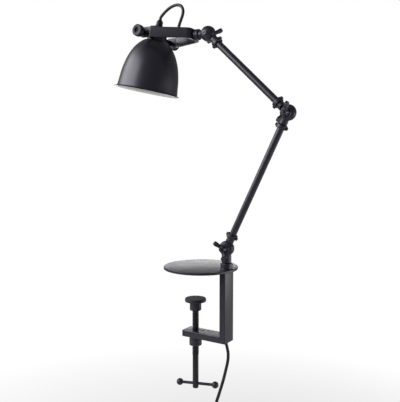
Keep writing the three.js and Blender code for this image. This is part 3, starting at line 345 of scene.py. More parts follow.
def sheathed(bench):
    """The lead's soft black sheath, with faint scuffs."""
    cloud = bench.noise(120, 3)
    scuff = bench.ramp(bench.noise(420, 4, 0.7, distortion=1.2), (0.6, 0.0), (0.8, 1.0))
    return {
        "Base Color": bench.blend(scuff * 0.5, (0.006, 0.006, 0.0065), (0.018, 0.018, 0.019)),
        "Roughness": 0.42 + (cloud - 0.5) * 0.12 + scuff * 0.12,
        "Normal": bench.bump(bench.noise(1400, 2), 0.00002, 0.4),
    }


POWDER = finish("powder_coat_black", coated(
    (0.0105, 0.0105, 0.0195), (0.018, 0.018, 0.029), rough=0.38, peel=0.00006, peel_scale=620,
))
CAST = finish("cast_black", coated(
    (0.010, 0.010, 0.0175), (0.018, 0.018, 0.027), rough=0.42, peel=0.00009, peel_scale=480,
))
PLASTIC = finish("moulded_black", coated(
    (0.010, 0.010, 0.015), (0.018, 0.018, 0.024), rough=0.50, peel=0.00006, peel_scale=1500,
    spread=0.05, shine=0.35,
))
RUBBER = finish("black_rubber", coated(
    (0.016, 0.016, 0.016), (0.034, 0.034, 0.034), rough=0.78, peel=0.00010, peel_scale=1100,
))
SHEATH = finish("black_sheath", sheathed)
ENAMEL = finish("white_enamel", enamelled)
STEEL = finish("bright_steel", polished((0.62, 0.63, 0.65), rough=0.30, stretch=(1, 1, 12)))
DARK_STEEL = finish("blackened_steel", polished((0.060, 0.060, 0.066), rough=0.36, stretch=(1, 1, 9)))
OPAL = finish("opal_glass", opal)

# ---------- shaping ----------


def only(*pieces):
    """Leaves edit mode and selects these pieces alone."""
    if bpy.context.mode != "OBJECT":
        bpy.ops.object.mode_set(mode="OBJECT")
    bpy.ops.object.select_all(action="DESELECT")
    for piece in pieces:
        piece.select_set(True)
    if pieces:
        bpy.context.view_layer.objects.active = pieces[0]


def edit(piece, select="SELECT"):
    """Goes into edit mode with every vertex selected, or none."""
    only(piece)
    bpy.ops.object.mode_set(mode="EDIT")
    bpy.ops.mesh.select_mode(type="VERT")
    bpy.ops.mesh.select_all(action=select)


def done(piece):
    bpy.ops.object.mode_set(mode="OBJECT")
    return piece


def modified(piece, kind, **settings):
    """Adds a modifier and applies it."""
    only(piece)
    modifier = piece.modifiers.new("shape", kind)
    for key, value in settings.items():
        setattr(modifier, key, value)
    bpy.ops.object.modifier_apply(modifier=modifier.name)
    return piece


def drawn(name, points):
    """A chain of edges through points: a plane drawn together to one corner, then extruded along."""
    only()
    bpy.ops.mesh.primitive_plane_add(size=1)
    piece = bpy.context.object
    piece.name = name
    edit(piece)
    bpy.ops.mesh.merge(type="CENTER")
    bpy.ops.transform.translate(value=points[0])
    for before, after in zip(points, points[1:]):
        step = Vector(after) - Vector(before)
        bpy.ops.mesh.extrude_region_move(TRANSFORM_OT_translate={"value": step})
    bpy.ops.mesh.select_all(action="SELECT")
    return piece


def turned(name, profile, steps=64):
    """A profile of (radius, height) points turned about Z. It closes on the axis or on itself."""
    points = [(radius, 0, height) for radius, height in profile]
    if profile[0][0] > 0:
        points.append(points[0])
    piece = drawn(name, points)
    bpy.ops.mesh.spin(steps=steps, angle=2 * pi, center=(0, 0, 0), axis=(0, 0, 1))
    bpy.ops.mesh.select_all(action="SELECT")
    bpy.ops.mesh.remove_doubles(threshold=0.001)
    bpy.ops.mesh.normals_make_consistent(inside=False)
    return done(piece)


def rod(name, radius, low, high, steps=32):
    """A plain round rod along Z, in most places the tool that cuts a hole."""
    return turned(name, [(0, low), (radius, low), (radius, high), (0, high)], steps)


def slab(name, outline, low, high):
    """An outline of (x, y) points made a face and extruded along Z."""
    piece = drawn(name, [(x, y, low) for x, y in outline])
    bpy.ops.mesh.edge_face_add()
    bpy.ops.mesh.extrude_region_move(TRANSFORM_OT_translate={"value": (0, 0, high - low)})
    bpy.ops.mesh.select_all(action="SELECT")
    bpy.ops.mesh.normals_make_consistent(inside=False)
    return done(piece)


def bar_stock(name, size, centre=(0, 0, 0), radius=0.0, along=2, segments=5):
    """A block whose four edges along one axis are rounded."""
    only()
    bpy.ops.mesh.primitive_cube_add(size=1, location=centre)
    piece = bpy.context.object
    piece.name = name
    piece.scale = size
    bpy.ops.object.transform_apply(location=True, rotation=True, scale=True)
    if radius:
        edit(piece, "DESELECT")
        bpy.ops.object.mode_set(mode="OBJECT")
        mesh = piece.data
        for line in mesh.edges:
            first, last = (mesh.vertices[i].co for i in line.vertices)
            line.select = abs((last - first).normalized()[along]) > 0.9
        bpy.ops.object.mode_set(mode="EDIT")
        bpy.ops.mesh.select_mode(type="EDGE")
        bpy.ops.mesh.bevel(offset=radius, segments=segments, profile=0.5)
        done(piece)
    return piece


def discard(*models):
    """Removes pieces that were only needed for making others."""
    for model in models:
        bpy.data.objects.remove(model)


def combined(piece, other, operation):
    """Joins, cuts or keeps the common part of two closed shapes. The second is used up."""
    modified(piece, "BOOLEAN", object=other, operation=operation, solver="EXACT")
    discard(other)
    return piece


def cut(piece, *tools):
    for tool in tools:
        combined(piece, tool, "DIFFERENCE")
    return piece


def fused(piece, *others):
    for other in others:
        combined(piece, other, "UNION")
    return piece


def laid(piece, axis="Z", degrees=0, shift=(0, 0, 0)):
    """Turns a piece about one axis and then shifts it, in its mesh."""
    only(piece)
    piece.data.transform(Matrix.Translation(Vector(shift)) @ Matrix.Rotation(radians(degrees), 4, axis))
    piece.data.update()
    return piece


def eased(piece, width, segments=3, angle=32):
    """Rounds every edge sharper than the angle."""
    return modified(
        piece, "BEVEL", width=width, segments=segments, limit_method="ANGLE",
        angle_limit=radians(angle), harden_normals=False, miter_outer="MITER_ARC",
    )


def cast(piece, grid, passes=6):
    """Melts a built-up shape into one casting with soft corners."""
    modified(piece, "REMESH", mode="VOXEL", voxel_size=grid, adaptivity=0.0)
    return modified(piece, "SMOOTH", factor=0.6, iterations=passes)


def copied(piece, name):
    """A copy with a mesh of its own."""
    only(piece)
    bpy.ops.object.duplicate(linked=False)
    copy = bpy.context.object
    copy.name = name
    return copy


def shaded(piece, angle=34):
    only(piece)
    bpy.ops.object.shade_smooth_by_angle(angle=radians(angle))
    return piece


def fitted(piece, where, material, *nodes, body=None, slot=None, smooth=34):
    """Puts a piece made in millimetres in place, gives it its finish and its body, and hides the imported
    nodes it stands for.
    """
    shaded(piece, smooth)
    piece.matrix_world = where @ Matrix.Scale(MM, 4)
    bpy.ops.object.transform_apply(location=True, rotation=True, scale=True)
    piece.data.materials.clear()
    piece.data.materials.append(material)
    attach(piece, body or body_of[nodes[0]])
    if nodes:
        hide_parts(*nodes)
    return piece


def arc(centre, radius, start, end, steps):
    """Points on an arc, in degrees, from one angle to another."""
    turn = [radians(start + (end - start) * i / steps) for i in range(steps + 1)]
    return [(centre[0] + radius * cos(a), centre[1] + radius * sin(a)) for a in turn]


# ---------- cords ----------


def flowing(points):
    """The points of a smooth curve with the handles that make it pass evenly through them."""
    points = [Vector(point) for point in points]
    ends = [2 * points[0] - points[1], *points, 2 * points[-1] - points[-2]]
    knots = []
    for before, here, after in zip(ends, ends[1:], ends[2:]):
        d0, d1 = sqrt((here - before).length), sqrt((after - here).length)
        slope = (here - before) / d0 - (after - before) / (d0 + d1) + (after - here) / d1
        knots.append((here - slope * d0 / 3, here, here + slope * d1 / 3))
    return knots


def cord_curve(name, points, radius):
    """A round lead along a smooth curve."""
    knots = flowing(points)
    curve = bpy.data.curves.new(name, "CURVE")
    curve.dimensions = "3D"
    curve.bevel_depth = radius
    curve.bevel_resolution = 5
    curve.resolution_u = 6
    curve.use_fill_caps = True
    spline = curve.splines.new("BEZIER")
    spline.bezier_points.add(len(knots) - 1)
    for point, (left, here, right) in zip(spline.bezier_points, knots):
        point.handle_left_type = point.handle_right_type = "FREE"
        point.handle_left, point.co, point.handle_right = left, here, right
    piece = bpy.data.objects.new(name, curve)
    bpy.context.scene.collection.objects.link(piece)
    curve.materials.append(SHEATH)
    return piece


def along_curve(points, steps=8):
    """Close points along the smooth curve, ends included."""
    knots = flowing(points)
    path = []
    for (_, a, right), (left, b, _) in zip(knots, knots[1:]):
        path += interpolate_bezier(a, right, left, b, steps + 1)[:-1]
    return [*path, knots[-1][1]]


# the mains lead drops from the bar, swings towards the user, passes the switch and goes on to the coil
mains_route = [
    (61, 0, -126), (61, 0, -144), (61.4, 0, -148), (62.8, -0.3, -152.9), (65.8, -1, -163.6),
    (66.9, -2.2, -174.1), (66.4, -4.2, -185.2), (65, -6.8, -196), (63.8, -9.8, -206.5),
    (62.6, -13.2, -216.8), (61.2, -16.8, -226.9), (59.3, -20.6, -237.8), (57.2, -24, -248.8),
    (54.7, -26.8, -260), (53, -28.4, -275), (51.6, LEAD_Y, -292), (SWITCH_X, LEAD_Y, -309),
    (SWITCH_X, LEAD_Y, SWITCH_Z), (SWITCH_X, LEAD_Y, -367), (SWITCH_X, LEAD_Y, -380),
]
COIL_X, COIL_Y, COIL_Z = 8, -22.8, -394
OUTER, MIDDLE, INNER, CLEAR, LAYER = 36.2, 30.0, 23.8, 43.0, 6.2
# (radius, across) of each turn, from the side where the lead arrives to the side where it leaves
COIL_TURNS = [
    (OUTER, -LAYER), (MIDDLE, -LAYER), (INNER, -LAYER), (INNER, 0), (MIDDLE, 0), (OUTER, 0),
    (OUTER, LAYER), (MIDDLE, LAYER),
]
STEPS_PER_TURN = 24
CORNER_BULGE = 2.3  # how far the lead swings out or in where it changes layer
HUMP, HUMP_START = 6.6, 10  # the last turn climbs over the one outside it, from this angle to the exit
COIL_START = 90  # degrees clockwise from the top


def eased_step(t):
    """A soft step from 0 to 1."""
    t = min(max(t, 0), 1)
    return t * t * (3 - 2 * t)


coil_route = []
for step in range(STEPS_PER_TURN * len(COIL_TURNS) + 1):
    turn = min(step // STEPS_PER_TURN, len(COIL_TURNS) - 1)
    angle = COIL_START + 360 * step / STEPS_PER_TURN
    into = (angle - COIL_START - 360 * turn) / 90
    before = COIL_TURNS[turn - 1] if turn else (CLEAR, COIL_TURNS[0][1])
    here = COIL_TURNS[turn]
    share = eased_step(into)
    radius = before[0] + (here[0] - before[0]) * share
    across = before[1] + (here[1] - before[1]) * share
    if before[0] == here[0] and into < 1:
        radius += (CORNER_BULGE if here[0] == OUTER else -CORNER_BULGE) * sin(pi * share)
    last = (angle - 360 * len(COIL_TURNS) - HUMP_START) / (COIL_START - HUMP_START)
    if last > 0:
        radius += (CLEAR - here[0]) * eased_step((last - 0.15) / 0.85)
        across += HUMP * sin(pi * last)
    place = radians(angle)
    coil_route.append((COIL_X + radius * sin(place), COIL_Y + across, COIL_Z + radius * cos(place)))
tail_route = [(50.8, PLUG_Y, -408), (49.9, PLUG_Y, -422), (PLUG_X, PLUG_Y, PLUG_Z + GAP)]
mains_points = [Vector(p) * MM for p in mains_route + coil_route + tail_route]

mains = cord_curve("mains_cord", mains_points, LEAD * MM)
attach(mains, "clamp")
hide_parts("mains_lead", "plug_tail", "cord_coil")

# the loop of lead from the swivel up to the grip on the shade, as (above the neck line, along it)
GRIP_TIP = 37.6  # above the shade's pivots


def above_grip(height):
    return (height * cos(SHADE_TILT), YOKE_PIVOT - height * sin(SHADE_TILT))


loop_route = [
    (0, NIPPLE_TAIL + GAP), (0.2, 57.4), (2.6, 66.2), (7.8, 72.2), (15.4, 73.8), (24.2, 72),
    (33.2, 69), (42.2, 66), (51.6, 65.6), (59.6, 69.8), (63.6, 77.4), (63.8, 87.2), (60.8, 97.6),
    (54.8, 107.8), (47, 117), above_grip(GRIP_TIP + 4.7), above_grip(GRIP_TIP),
]
loop_points = [yoke_place @ (Vector((above, 0, along)) * MM) for above, along in loop_route]
loop_path = along_curve(loop_points)
loop = cord_curve("shade_loop_cord", loop_points, LEAD * MM)
only(loop)
bpy.ops.object.convert(target="MESH")
loop = bpy.context.object
shaded(loop, 50)
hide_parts("loop_lead")
# where the loop's half nearer the shade begins, along the neck line; the loop itself is not made to turn here
LOOP_TURNS_FROM = 74  # along the neck line
loop_turns_from = yoke_place @ (Vector((loop_route[-1][0], 0, LOOP_TURNS_FROM)) * MM)
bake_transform(loop)

# ---------- clamp ----------

bar_half = FRAME_DEPTH / 2
bar_x = lower_pivot.x / MM
arm_z = -FRAME_DROP + bar_half
cavity = (FRAME_DEPTH - 2 * FRAME_WALL, FRAME_WIDTH - 2 * FRAME_WALL)
arm_length = bar_x - bar_half - ARM_END_X - CAP_FLANGE

upright_centre = (bar_x, 0, -FRAME_DROP / 2)
upright = bar_stock("clamp_bar", (FRAME_DEPTH, FRAME_WIDTH, FRAME_DROP), upright_centre, FRAME_EDGE)
arm_size = (arm_length + FRAME_DEPTH / 2, FRAME_WIDTH, FRAME_DEPTH)
arm_centre = (bar_x - arm_size[0] / 2, 0, arm_z)
fused(upright, bar_stock("clamp_arm", arm_size, arm_centre, FRAME_EDGE, along=0))
hollow_size = (arm_length, cavity[1], cavity[0])
hollow_centre = (bar_x - bar_half - arm_length / 2 - 1, 0, arm_z)
cut(
    upright,
    bar_stock("bar_hollow", (*cavity, FRAME_DROP + 2), upright_centre, HOLLOW_EDGE),
    bar_stock("arm_hollow", hollow_size, hollow_centre, HOLLOW_EDGE, along=0),
    laid(rod("screw_way", SCREW + GAP, -160, -120, 64), shift=(screw_x / MM, 0, 0)),
)
fitted(eased(upright, 0.35, 2), world_place, POWDER, "clamp_frame")

# a weld bead along the corner where the arm meets the bar
BEAD, BEAD_RIPPLE, BEAD_HALF, BEAD_STEPS = 1.75, 0.16, 15.2, 60
bead = [(0, -BEAD_HALF)]
for step in range(BEAD_STEPS + 1):
    bead.append((BEAD + BEAD_RIPPLE * sin(step * pi / 2), BEAD_HALF * (2 * step / BEAD_STEPS - 1)))
bead.append((0, BEAD_HALF))
bead_place = (bar_x - bar_half + 0.2, 0, -FRAME_DROP + FRAME_DEPTH + 0.2)
corner_weld = laid(turned("corner_weld", bead, 16), "X", 90, bead_place)
fitted(corner_weld, world_place, POWDER, body="clamp", slot="powder_coat", smooth=60)

insert = [side - 2 * GAP for side in cavity]
flange_size = (CAP_FLANGE, FRAME_WIDTH, FRAME_DEPTH)
flange = bar_stock("arm_plug", flange_size, (ARM_END_X + CAP_FLANGE / 2, 0, arm_z), FRAME_EDGE, along=0)
plug_size = (CAP_DEPTH, insert[1], insert[0])
fused(flange, bar_stock("arm_plug_body", plug_size, (ARM_END_X + 4.4, 0, arm_z), 0.6, along=0))
fitted(eased(flange, 0.5, 3), world_place, PLASTIC, "arm_end_cap")

bush_centre = (bar_x, 0, -FRAME_DROP + 5)
bush = bar_stock("bar_bush", (*insert, 10), bush_centre, 0.6)
lead_way = turned("lead_way", [(0, -8), (LEAD + 1.6, -8), (LEAD + GAP, -4), (LEAD + GAP, 8), (0, 8)], 32)
cut(bush, laid(lead_way, shift=bush_centre))
fitted(eased(bush, 0.3, 2), world_place, PLASTIC, "bar_end_bush")

disc = turned("table_disc", [
    (0, 0), (GROOVE_INSIDE, 0), (GROOVE_INSIDE, GROOVE_DEPTH), (GROOVE_OUTSIDE, GROOVE_DEPTH),
    (GROOVE_OUTSIDE, 0), (DISC_RADIUS - DISC_EDGE, 0),
    *arc((DISC_RADIUS - DISC_EDGE, DISC_EDGE), DISC_EDGE, -90, 0, 4),
    *arc((DISC_RADIUS - DISC_EDGE, DISC_THICKNESS - DISC_EDGE), DISC_EDGE, 0, 90, 4),
    (0, DISC_THICKNESS),
], 160)
fitted(disc, world_place, POWDER, "base_disc")

collar = turned("disc_collar", [
    (WIRE, -17), (4.2, -17), (4.2, 0), (12.6, 0), *arc((12.6, 0.6), 0.6, -60, 120, 3),
    (12, 1.3), *arc((10.9, COLLAR_TOP - 1.1), 1.1, 0, 90, 5), (POST + 1.5, COLLAR_TOP),
    (POST + 1.2, COLLAR_TOP - 0.3), (POST, COLLAR_TOP - 0.3), (POST, POST_TOP), (WIRE, POST_TOP),
], 80)
fitted(collar, shifted(bar_place, z=DISC_THICKNESS), POWDER, "base_collar")

nut = turned("screw_boss", [
    (SCREW + GAP, -BOSS_DROP), (8.4, -BOSS_DROP), (8.4, -18.6), (11.8, -18.6),
    *arc((BOSS - 1, -17.6), 1, -80, 0, 4), (BOSS, -6), (BOSS - 0.4, -5.5), (BOSS - 0.4, -2),
    *arc((BOSS + 0.1, -1), 0.95, -120, 100, 6), (SCREW + GAP, 0),
], 72)
fitted(nut, shifted(screw_line, z=-FRAME_DROP), POWDER, "clamp_nut")

pad = turned("pad_cup", [
    (0, -PAD_FACE), (PAD - 0.6, -PAD_FACE), *arc((PAD - 0.8, -2.4), 0.8, 90, 0, 4),
    *arc((PAD - 0.8, -6), 0.8, 0, -90, 4), (14.2, -7.4), *arc((14.2, -9.6), 2.2, 90, 180, 5),
    *arc((11, -24), 1, 0, -90, 4), (5.3, -25), (5.3, -7), (0, -7),
], 96)
fitted(pad, shifted(screw_line, z=TABLE_UNDERSIDE), CAST, "clamp_pad")
pad_face = turned("pad_rubber_face", [
    (0, 0), (PAD - 1.6, 0), *arc((PAD - 1.2, -0.7), 0.7, 90, 0, 4), (PAD - 0.5, -PAD_FACE), (0, -PAD_FACE),
], 96)
fitted(pad_face, shifted(screw_line, z=TABLE_UNDERSIDE), RUBBER, body="pad", slot="black_plastic")

# the screw: one turn of its thread swept up, trimmed flat at both ends and joined to its shank
thread = done(drawn("thread", [
    (THREAD_ROOT, 0, 0), (THREAD_ROOT, 0, 0.55), (THREAD_CREST, 0, 1.1), (THREAD_CREST, 0, 1.75),
    (THREAD_ROOT, 0, 2.3), (THREAD_ROOT, 0, THREAD_PITCH),
]))
turns = int((THREAD_TOP - THREAD_END) / THREAD_PITCH) + 3
modified(
    thread, "SCREW", axis="Z", angle=2 * pi, screw_offset=THREAD_PITCH, iterations=turns,
    steps=40, render_steps=40, use_merge_vertices=True, merge_threshold=0.001,
)
laid(thread, shift=(0, 0, THREAD_END - THREAD_PITCH))
edit(thread)
bpy.ops.mesh.remove_doubles(threshold=0.001)
for height, normal in ((THREAD_TOP, 1), (THREAD_END, -1)):
    bpy.ops.mesh.select_all(action="SELECT")
    bpy.ops.mesh.bisect(plane_co=(0, 0, height), plane_no=(0, 0, normal), use_fill=True, clear_outer=True)
bpy.ops.mesh.select_all(action="SELECT")
bpy.ops.mesh.normals_make_consistent(inside=False)
done(thread)
screw = turned("clamp_spindle", [
    (0, SCREW_TIP), *arc((4, SCREW_TIP - 1), 1, 90, 0, 3), (5, -88),
    (THREAD_ROOT + 0.05, THREAD_TOP - 0.2), (THREAD_ROOT + 0.05, THREAD_END + 1),
    (SHANK, THREAD_END - 0.6), (SHANK, SCREW_END + 3.5), *arc((SHANK - 1.6, SCREW_END + 1.6), 1.6, 0, -90, 5),
    (0, SCREW_END),
], 64)
fused(screw, thread)
cut(screw, laid(rod("cross_way", TOMMY + GAP, -9, 9), "Y", 90, (0, 0, TOMMY_Z)))
fitted(screw, screw_place, DARK_STEEL, "clamp_screw", smooth=28)


fixed_ball, loose_ball = TOMMY_SHIFT - TOMMY_HALF, TOMMY_SHIFT + TOMMY_HALF
peg_start = loose_ball - TOMMY_BALL + 1
tommy = turned("tommy_rod", [
    (0, fixed_ball), (TOMMY, fixed_ball), (TOMMY, peg_start), (TOMMY - 1, peg_start),
    (TOMMY - 1, loose_ball), (0, loose_ball),
], 40)
BALL_FLAT = 76.09  # degrees from the ball's middle up to its small flat end
ball_profile = [(0, -TOMMY_BALL), *arc((0, 0), TOMMY_BALL, -BALL_FLAT, BALL_FLAT, 20), (0, TOMMY_BALL)]
ball = turned("tommy_end", ball_profile, 40)
other_ball = copied(ball, "tommy_screwed_end")
fused(tommy, laid(ball, shift=(0, 0, fixed_ball)))
fitted(tommy, tommy_place, CAST, "tommy_bar", smooth=40)
laid(other_ball, shift=(0, 0, loose_ball))
cut(other_ball, turned("ball_seat", [
    (0, loose_ball - 9), (TOMMY + 0.15, loose_ball - 9), (TOMMY + 0.15, loose_ball - 4),
    (TOMMY - 0.9, loose_ball - 4), (TOMMY - 0.9, loose_ball + 0.2), (0, loose_ball + 0.2),
], 40))
fitted(other_ball, tommy_place, CAST, "tommy_ball", smooth=40)

# ---------- knuckles ----------

dome_rise, dome_edge = DOME - DOME_FOOT, acos(CROWN / BALL)
dome_profile = [(0, HALF_GAP), (BALL - 0.4, HALF_GAP), (BALL, HALF_GAP + 0.4)]
for i in range(15):
    a = dome_edge * i / 14
    dome_profile.append((BALL * cos(a), DOME_FOOT + dome_rise * sin(a)))
dome_top = dome_profile[-1][1]
dome_profile.append((0, dome_top))
hub_profile = [
    (0, HALF_GAP), (BALL - 0.4, HALF_GAP), (BALL, HALF_GAP + 0.4), (BALL, 2.4), (BALL - 0.5, 4.2),
    (BALL - 1.7, 5.9), (BALL - 3.4, 7.3), (10.5, 8.3), (10.1, 9.1), (10, 10.4), (9.4, 11), (0, 11),
]


def knuckle(name, side, domed, neck, neck_end):
    """Half a knuckle: a dome or a hub, cast in one with its neck, clear of the other half's sweep."""
    shell = laid(turned(name, dome_profile if domed else hub_profile, 72), "X", -90 * side)
    stalk = turned("stalk", [
        (0, 2), (neck, 2), (neck, neck_end - 0.8), (neck - 0.8, neck_end), (0, neck_end),
    ], 64)
    root = turned("root", [
        (0, 9.3), (neck + 1.15, 9.3), (neck + 0.6, 11.4), (neck - 0.35, 13.1), (0, 13.1),
    ], 60)
    fused(shell, stalk, root)
    cut(shell, laid(rod("sweep", BALL + 0.4, -26, HALF_GAP, 96), "X", -90 * side))
    cast(shell, 0.5, 7)
    return cut(
        shell,
        laid(rod("bolt_way", BOLT + GAP, -1, 30), "X", -90 * side),
        rod("wire_way", WIRE, 9, 60, 24),
    )


def spigotted(piece):
    """Adds the spigot that carries a tube."""
    low, high, radius = NECK_END - 1.5, NECK_END + SPIGOT_LENGTH, TUBE - TUBE_WALL - GAP
    return fused(piece, turned("spigot", [(WIRE, low), (radius, low), (radius, high), (WIRE, high)], 40))


lower_start, lower_end, _ = arm_ends["lower_arm"]
upper_start, upper_end, _ = arm_ends["upper_arm"]

stem = knuckle("stem_casting", -1, False, STEM_NECK, STEM_NECK_END)
cut(
    stem,
    rod("post_socket", POST + GAP, 16.7, 40, 48),
    laid(rod("lock_way", SET_SCREW_HOLE, 0, 12, 24), "Y", 90, (0, 0, LOCK_SCREW_Z)),
)
fitted(stem, stem_place, CAST, "stem_knuckle")
arm_castings = (
    ("lower_arm_foot_casting", 1, True, lower_start, "lower_arm_start_knuckle"),
    ("lower_arm_elbow_casting", 1, False, lower_end, "lower_arm_end_knuckle"),
    ("upper_arm_elbow_casting", 1, True, upper_start, "upper_arm_start_knuckle"),
    ("upper_arm_top_casting", -1, False, upper_end, "upper_arm_end_knuckle"),
)
arm_models = {}
for name, side, domed, where, node in arm_castings:
    if (side, domed) not in arm_models:
        arm_models[side, domed] = spigotted(knuckle("arm_model", side, domed, NECK, NECK_END))
    fitted(copied(arm_models[side, domed], name), where, CAST, node)
discard(*arm_models.values())
head = knuckle("head_casting", -1, True, NECK, HEAD_NECK_END)
cut(head, rod("nipple_way", NIPPLE + GAP, NIPPLE_START - GAP, 60, 48))
fitted(head, head_place, CAST, "head_knuckle")

# ---------- bolts and wing nuts ----------


def threaded(radius, root, low, high, pitch):
    """The outline of a threaded end, from low to high."""
    points = []
    for ridge in range(int((high - low) / pitch)):
        base = low + pitch * ridge
        points += [(root, base), (radius, base + pitch * 0.4), (radius, base + pitch * 0.6)]
    return points + [(root, high)]


def hexagon(radius):
    """The corners of a hexagon about Z."""
    return [(radius * cos(i * pi / 3), radius * sin(i * pi / 3)) for i in range(6)]


bolt = turned("bolt_model", [
    (0, -BOLT_TAIL), (1.6, -BOLT_TAIL), (2.1, -BOLT_TAIL + 0.5),
    *threaded(BOLT, 2.1, -BOLT_TAIL + 0.5, -HUB_SEAT - 4.7, 0.8),
    (BOLT, -HUB_SEAT - 4), (BOLT, dome_top + GAP), (5.4, dome_top + GAP), (5.8, dome_top + 0.5),
    (5.7, dome_top + 0.8), (5.1, dome_top + 1.25), (4.0, dome_top + 1.5), (2.9, dome_top + 1.6),
    (0, dome_top + 1.6),
], 48)
cut(bolt, slab("hex_socket", hexagon(1.85), dome_top + 0.35, dome_top + 3))

wing_hub = turned("wing_model", [
    (BOLT + GAP, 0), (7.4, 0), (7.8, 0.4), (7.8, 1.1), (7.0, 2.0), (6.6, 2.8), (5.7, 9.4), (5.2, 10),
    (3.4, 10), (BOLT + GAP, 9.4),
], 48)
ear_outline = [
    (3.2, 1.8), (6.6, 1.7), (12.4, 4.9), *arc(EAR_MIDDLE, EAR_RADIUS, -58, 148, 14),
    (7.6, 10.4), (5.4, 8.7), (3.2, 8.4),
]
for outline in (ear_outline, [(-x, y) for x, y in reversed(ear_outline)]):
    fused(wing_hub, laid(slab("ear", outline, -EAR_THICKNESS / 2, EAR_THICKNESS / 2), "X", 90))
eased(wing_hub, 0.5, 2, 40)
cast(wing_hub, 0.38, 6)
cut(wing_hub, rod("nut_way", BOLT + GAP, -2, 20))

hardware = (("lower", lower_pivot, 1), ("elbow", elbow_pivot, 1), ("top", top_pivot, -1))
for label, pivot, dome_side in hardware:
    bolt_place = frame_at(pivot, EDGE_LINE * dome_side, UP)
    fitted(copied(bolt, f"{label}_hinge_bolt"), bolt_place, CAST, f"{label}_bolt", smooth=30)
    lean = radians(WING_LEANS[label])
    ears = Vector((sin(lean), 0, cos(lean)))
    out = -dome_side * EDGE_LINE
    wing_place = shifted(frame_at(pivot, out, out.cross(ears)), z=HUB_SEAT)
    fitted(copied(wing_hub, f"{label}_wing"), wing_place, CAST, f"{label}_wing_nut", smooth=40)
discard(bolt, wing_hub)

# ---------- arms ----------

ring = turned("ring_model", [
    (TUBE + GAP, 0), *arc((RING - RING_EDGE, RING_EDGE), RING_EDGE, -90, 0, 4),
    *arc((RING - RING_EDGE, RING_LENGTH - RING_EDGE), RING_EDGE, 0, 90, 4), (TUBE + GAP, RING_LENGTH),
], 64)
for turn in (90, -90):
    cut(ring, laid(rod("screw_hole", SET_SCREW_HOLE, 5, 14, 24), "Y", turn, (0, 0, RING_LENGTH / 2)))


def cheese_head(name, tip, seat):
    """A slotted cheese-head screw along +Z."""
    piece = turned(name, [
        (0, tip), (1.3, tip), *threaded(1.8, 1.5, tip + 0.4, seat, 0.7), (1.8, seat + GAP), (2.9, seat + GAP),
        *arc((2.8, seat + 0.7), 0.4, -60, 0, 2), *arc((2.6, seat + 1.6), 0.6, 0, 90, 4), (0, seat + 2.2),
    ], 36)
    return cut(piece, bar_stock("slot", (8, 0.9, 1.2), (0, 0, seat + 2.3)))


set_screw = cheese_head("set_screw_model", TUBE + GAP, RING)
for arm, (start, end, length) in arm_ends.items():
    for label, where in (("start", start), ("end", end)):
        fitted(copied(ring, f"{arm}_{label}_band"), shifted(where, z=RING_START), CAST, f"{arm}_{label}_ring")
        for side, turn, slot_turn, nodes in (
            ("screw", 90, 35, [f"{arm}_{label}_set_screw"]),
            ("back_screw", -90, -50, []),
        ):
            hole = turned_about(shifted(where, z=RING_START + RING_LENGTH / 2), "Y", turn)
            screw_copy = copied(set_screw, f"{arm}_{label}_{side}")
            here = turned_about(hole, "Z", slot_turn)
            fitted(screw_copy, here, DARK_STEEL, *nodes, body=arm, slot="black_metal")
    far = length - RING_START
    tube = turned(f"{arm}_pipe", [
        (TUBE - TUBE_WALL, RING_START), (TUBE - 0.2, RING_START), (TUBE, RING_START + 0.2),
        (TUBE, far - 0.2), (TUBE - 0.2, far), (TUBE - TUBE_WALL, far),
    ], 64)
    fitted(tube, start, POWDER, f"{arm}_tube")
discard(ring, set_screw)
lock_screw = cheese_head("stem_thumb_screw", POST + GAP, STEM_NECK)
lock_place = turned_about(shifted(stem_place, z=LOCK_SCREW_Z), "Y", 90)
fitted(lock_screw, lock_place, DARK_STEEL, "stem_lock_screw")

# ---------- swivel and yoke ----------

head_band = turned("head_band", [
    (NECK + GAP, 0), *arc((RING - 0.9, 0.9), 0.9, -90, 0, 4),
    (RING, 4.4), (RING - 0.5, 4.9), (RING, 5.4),
    *arc((RING - 0.9, HEAD_RING_LENGTH - 0.9), 0.9, 0, 90, 4), (NECK + GAP, HEAD_RING_LENGTH),
], 64)
fitted(head_band, shifted(head_place, z=HEAD_RING_START), CAST, "head_ring")
nipple = turned("swivel_pipe", [
    (LEAD + GAP, NIPPLE_START), (4.5, NIPPLE_START),
    *threaded(NIPPLE, 4.5, NIPPLE_START + 0.4, NIPPLE_TAIL - 0.6, 1.0),
    (4.2, NIPPLE_TAIL), (LEAD + GAP, NIPPLE_TAIL),
], 40)
fitted(nipple, head_place, DARK_STEEL, "swivel_nipple", smooth=30)
nut_end = NUT_START + NUT_HEIGHT
hex_nut = laid(slab("swivel_hex_nut", hexagon(NUT_RADIUS), NUT_START, nut_end), "Z", 30)
cone = turned("nut_cone", [
    (0, NUT_START), (8.6, NUT_START), (10, NUT_START + 0.8), (10, nut_end - 0.8), (8.6, nut_end),
    (0, nut_end),
], 64)
combined(hex_nut, cone, "INTERSECT")
cut(hex_nut, rod("nut_bore", NIPPLE + GAP, 30, 60, 40))
fitted(eased(hex_nut, 0.15, 2, 25), head_place, CAST, "swivel_nut")


def rounded_path(corners, radius, steps):
    """A chain through 2-D corners with each inner corner turned to a radius."""
    path = [corners[0]]
    for before, here, after in zip(corners, corners[1:], corners[2:]):
        a = Vector((before[0] - here[0], before[1] - here[1])).normalized()
        b = Vector((after[0] - here[0], after[1] - here[1])).normalized()
        half = acos(max(-1, min(1, a.dot(b)))) / 2
        middle = Vector(here) + (a + b).normalized() * (radius / sin(half))
        start = Vector(here) + a * (radius / tan(half)) - middle
        sweep = pi - 2 * half
        way = 1 if a.x * b.y - a.y * b.x < 0 else -1
        for i in range(steps + 1):
            turn = way * sweep * i / steps
            path.append((
                middle.x + start.x * cos(turn) - start.y * sin(turn),
                middle.y + start.x * sin(turn) + start.y * cos(turn),
            ))
    path.append(corners[-1])
    return path


